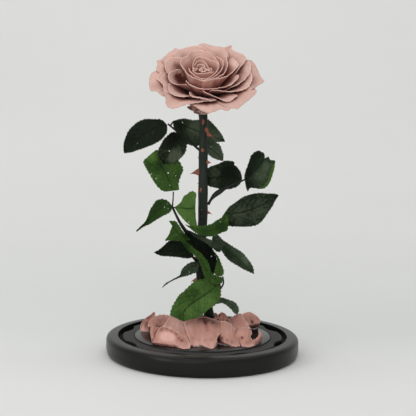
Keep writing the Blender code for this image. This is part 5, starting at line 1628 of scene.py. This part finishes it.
# %% Fallen petals at the right
fallen("loose_petal_leaning_right",
    (((228.5, 319.5, -3), (232.5, 316.8, 0), (236.5, 314.3, 3), (241, 313, 6)),
     ((230, 322, -8), (234.5, 319.8, -5), (239, 317.5, -2), (243.3, 317, 2)),
     ((232.5, 325.5, -13), (237, 323.5, -10), (241.8, 321.5, -6.5), (246, 321.5, -3)),
     ((236.5, 330.5, -17), (240.5, 328.3, -15), (245, 326.8, -12), (248.6, 326, -8)),
     ((240, 333.5, -20), (244, 332, -17), (248, 330.5, -14), (250.8, 329.2, -10)),
     ((242, 338.5, DISC), (245.5, 338, DISC), (248, 336.5, DISC), (250.3, 334.5, DISC))),
    10, "fallen_petal_leaning_right",
    patches=((231, 321, 4, -0.5), (237, 322, 6, -0.25), (247.5, 324, 1.6, 0.6), (244, 318, 1.6, 0.6),
             (250, 328, 1.6, 0.6)))
fallen("loose_petal_far_right",
    (((242, 314.5, 26), (246, 312.6, 29), (250, 312.2, 30), (253.5, 314, 29), (256.5, 315.8, 28)),
     ((244, 318, 20), (248, 316, 22), (252, 315.5, 24), (256, 317.3, 24), (259.5, 319, 23)),
     ((246.5, 322, 14), (250, 320.5, 17), (253.5, 320.2, 19), (257, 321, 20), (260, 321.5, 20)),
     ((248.5, 325.5, 9), (251.5, 325, 12), (254.5, 324.5, 14), (257.3, 324.4, 16), (259.3, 324, 17)),
     ((250.2, 328.6, DISC), (252.5, 328.6, DISC), (254.7, 328.4, DISC), (257, 327.7, DISC),
      (258.8, 326.5, DISC))), 11,
    patches=((252, 322, 1.5, -1.6), (250, 318, 6, -0.25), (257, 324, 3, -0.3)))
fallen("loose_petal_right_bowl",
    (((238, 330, -20), (240.5, 328, -18.5), (244, 327.2, -18), (248, 328.2, -18.5), (251.3, 331, -20)),
     ((236.5, 333.5, -26), (240, 331.5, -25), (244.3, 330.8, -24.5), (248.3, 331.5, -24.5), (252, 333.8, -25)),
     ((236.5, 337.5, -30), (240, 336, -31), (244.5, 335.3, -31), (248.3, 335.3, -30), (250.5, 336.8, -29)),
     ((238.5, 341.5, -34), (241.5, 340.5, -36), (245.5, 340, -36.5), (249, 339.6, -35.5), (252, 339.8, -34)),
     ((240.5, 344.3, -38), (243.5, 344.3, -40), (247, 344.3, -40), (251, 343.8, -39), (255, 342.6, -37)),
     ((241.5, 346.2, DISC), (245, 347, DISC), (248.5, 347.2, DISC), (252.5, 346.4, DISC), (257, 344.2, DISC))),
    8, "fallen_petal_right_bowl", wrinkles=0.35,
    patches=((242, 338, 1.3, -1.4), (250, 341, 3, -0.3), (241, 334, 4, 0.2), (247, 343, 2, -0.25)))
fallen("loose_petal_curl_right",
    (((252, 340.5, -34), (252.5, 343, -37), (253, 346.2, DISC)),
     ((255.5, 339.3, -32), (256.7, 341.3, -34.5), (258, 343.8, DISC)),
     ((258, 337, -29), (259.5, 338.7, -30), (261, 341.2, DISC)),
     ((259.2, 334.5, -25), (260.5, 335.5, -26), (262.2, 337, -24)),
     ((258.9, 332.6, -23), (259.8, 332.8, -23.5), (260.9, 333.1, -23)),
     ((258.3, 331, -22), (258.5, 330.9, -22), (258.8, 331, -22))), 9)
fallen("loose_petal_far_back",
    (((218.3, 314.5, 34), (221, 312.2, 36), (224, 312.8, 36), (226.5, 315.5, 34)),
     ((218.5, 317.5, 32), (222, 316, 33), (225, 316.5, 33), (228, 318.3, 31)),
     ((219, 320.5, 30), (222.5, 320.5, 30), (226, 321, 30), (229, 321.5, 30)),
     ((219.5, 325, DISC), (223, 325.3, DISC), (226, 325.5, DISC), (229, 325.5, DISC))), 12,
    patches=((222, 316, 6, -0.5), (218.5, 316, 1.5, -1.0)))
fallen("loose_petal_behind_stem",
    (((213.3, 314, 36), (215.4, 312.8, 37), (217.6, 314.3, 35)),
     ((213.2, 317, 34), (215.5, 316.5, 35), (217.8, 317, 34)),
     ((213.5, 320.5, 32), (215.7, 320.5, 32), (218, 320.5, 32)),
     ((214, 325, DISC), (216, 325.2, DISC), (218.3, 325.3, DISC))), 13, patches=((215, 316, 5, -0.5),))

# %% [markdown]
# The stage is a pale sweep, as from a roll of paper: a floor that curves up into a wall behind the rose, so that no
# horizon shows from the front. Its colour is a slow cloud times two bands of painted shade: one by the depth of the
# floor, darker and cooler close behind the base, a painted shadow of the base, and one by the height, a little darker
# on the bend and the wall.

# %% Sweep
FLOOR_FRONT, FLOOR_BACK, HALF_WIDTH = -3.0, 0.9, 4.0
BEND_RADIUS, BEND_STEPS, WALL_TOP = 0.9, 12, 3.4
profile = [(FLOOR_FRONT, 0.0), (FLOOR_BACK, 0.0)]
for step in range(1, BEND_STEPS + 1):
    bend = math.radians(90 * step / BEND_STEPS)
    profile.append((FLOOR_BACK + BEND_RADIUS * math.sin(bend), BEND_RADIUS * (1 - math.cos(bend))))
profile.append((FLOOR_BACK + BEND_RADIUS, WALL_TOP))
sweep = np.array([[(x, depth, height) for x in (-HALF_WIDTH, HALF_WIDTH)] for depth, height in profile]) / MM

pale_paper, tree, shader = new_material("pale_paper", 0.9, Specular_IOR_Level=0.1)
place = object_place(tree)
axes = node(tree, "SeparateXYZ", {"Vector": place})
paper = ramp(tree, noise(tree, place, 3.0, 3.0), (0.3, (0.775, 0.78, 0.767)), (0.7, (0.796, 0.801, 0.788)))
# Painted shadow: a darker, cooler band on the floor close behind the base.
floor_shadow_band = ramp(tree, stretch_range(tree, axes.outputs["Y"], -0.3, 0.9),
                  (0.0, WHITE), (0.208, (0.976, 0.978, 0.976)), (0.333, (0.904, 0.914, 0.916)),
                  (0.458, (0.906, 0.914, 0.916)), (0.642, (0.942, 0.946, 0.946)), (0.917, (0.995,) * 3))
# Painted shade: a little darker on the bend and the wall.
wall_shade_band = ramp(tree, axes.outputs["Z"], (0.0, WHITE), (0.13, (0.967, 0.967, 0.967)))
paper_with_painted_shade = multiplied(tree, multiplied(tree, paper, floor_shadow_band), wall_shade_band)
tree.links.new(paper_with_painted_shade, shader.inputs["Base Color"])
grid_object("backdrop", sweep, pale_paper)
print("sweep:", len(profile), "rows, the wall", FLOOR_BACK + BEND_RADIUS, "m behind the rose")

# %% [markdown]
# Soft light comes from large lamps: one above, one in front and one at each side, the left ones stronger, which
# models the bloom. Two low lamps reach under the leaves and into the folds. The wall has a lamp of its own,
# and a pale world fills the rest. The disc and the lip mirror this bright room, softly.

# %% Light
def soft_light(name, place, target, size, power):
    """A rectangular lamp, in metres and watts, turned to a target."""
    data = bpy.data.lights.new(name, "AREA")
    data.shape = "RECTANGLE"
    data.size, data.size_y = size
    data.energy = power
    lamp = bpy.data.objects.new(name, data)
    lamp.location = place
    lamp.rotation_euler = (Vector(target) - Vector(place)).to_track_quat("-Z", "Y").to_euler()
    bpy.context.scene.collection.objects.link(lamp)
    return power


ROSE = (0.0, 0.0, 0.15)
ROSE_UPPER = (0.0, 0.0, 0.2)
watts = (
    soft_light("top_light", (0.0, -0.2, 1.9), ROSE, (1.8, 1.4), 3.0),
    soft_light("front_light", (-0.2, -1.9, 1.3), ROSE, (1.6, 1.0), 8.0),
    soft_light("low_light", (-0.5, -2.2, 0.35), ROSE_UPPER, (1.0, 0.5), 2.5),
    soft_light("side_light", (-1.6, -1.6, 0.5), ROSE_UPPER, (0.8, 0.8), 7.0),
    soft_light("left_light", (-1.9, -1.1, 1.5), ROSE, (1.2, 1.2), 7.8),
    soft_light("right_light", (2.0, -0.9, 1.4), ROSE, (1.0, 1.2), 1.2),
    soft_light("wall_light", (0.0, 0.35, 2.6), (0.0, 1.8, 0.6), (3.4, 0.8), 18.5),
)
print("lamps:", len(watts), "with", round(sum(watts), 1), "W in all")

# %% [markdown]
# The world's light is nearly white with a trace of warmth. The Standard view shows colours as they are, with
# no film-like curve laid over them, so the tones of the render can be compared with a picture directly.

# %% World and view
world = bpy.data.worlds.new("world")
world.use_nodes = True
background = world.node_tree.nodes["Background"]
background.inputs["Color"].default_value = (1.0, 1.0, 0.985, 1.0)
background.inputs["Strength"].default_value = 0.5
bpy.context.scene.world = world
bpy.context.scene.view_settings.view_transform = "Standard"
print("view:", bpy.context.scene.view_settings.view_transform)
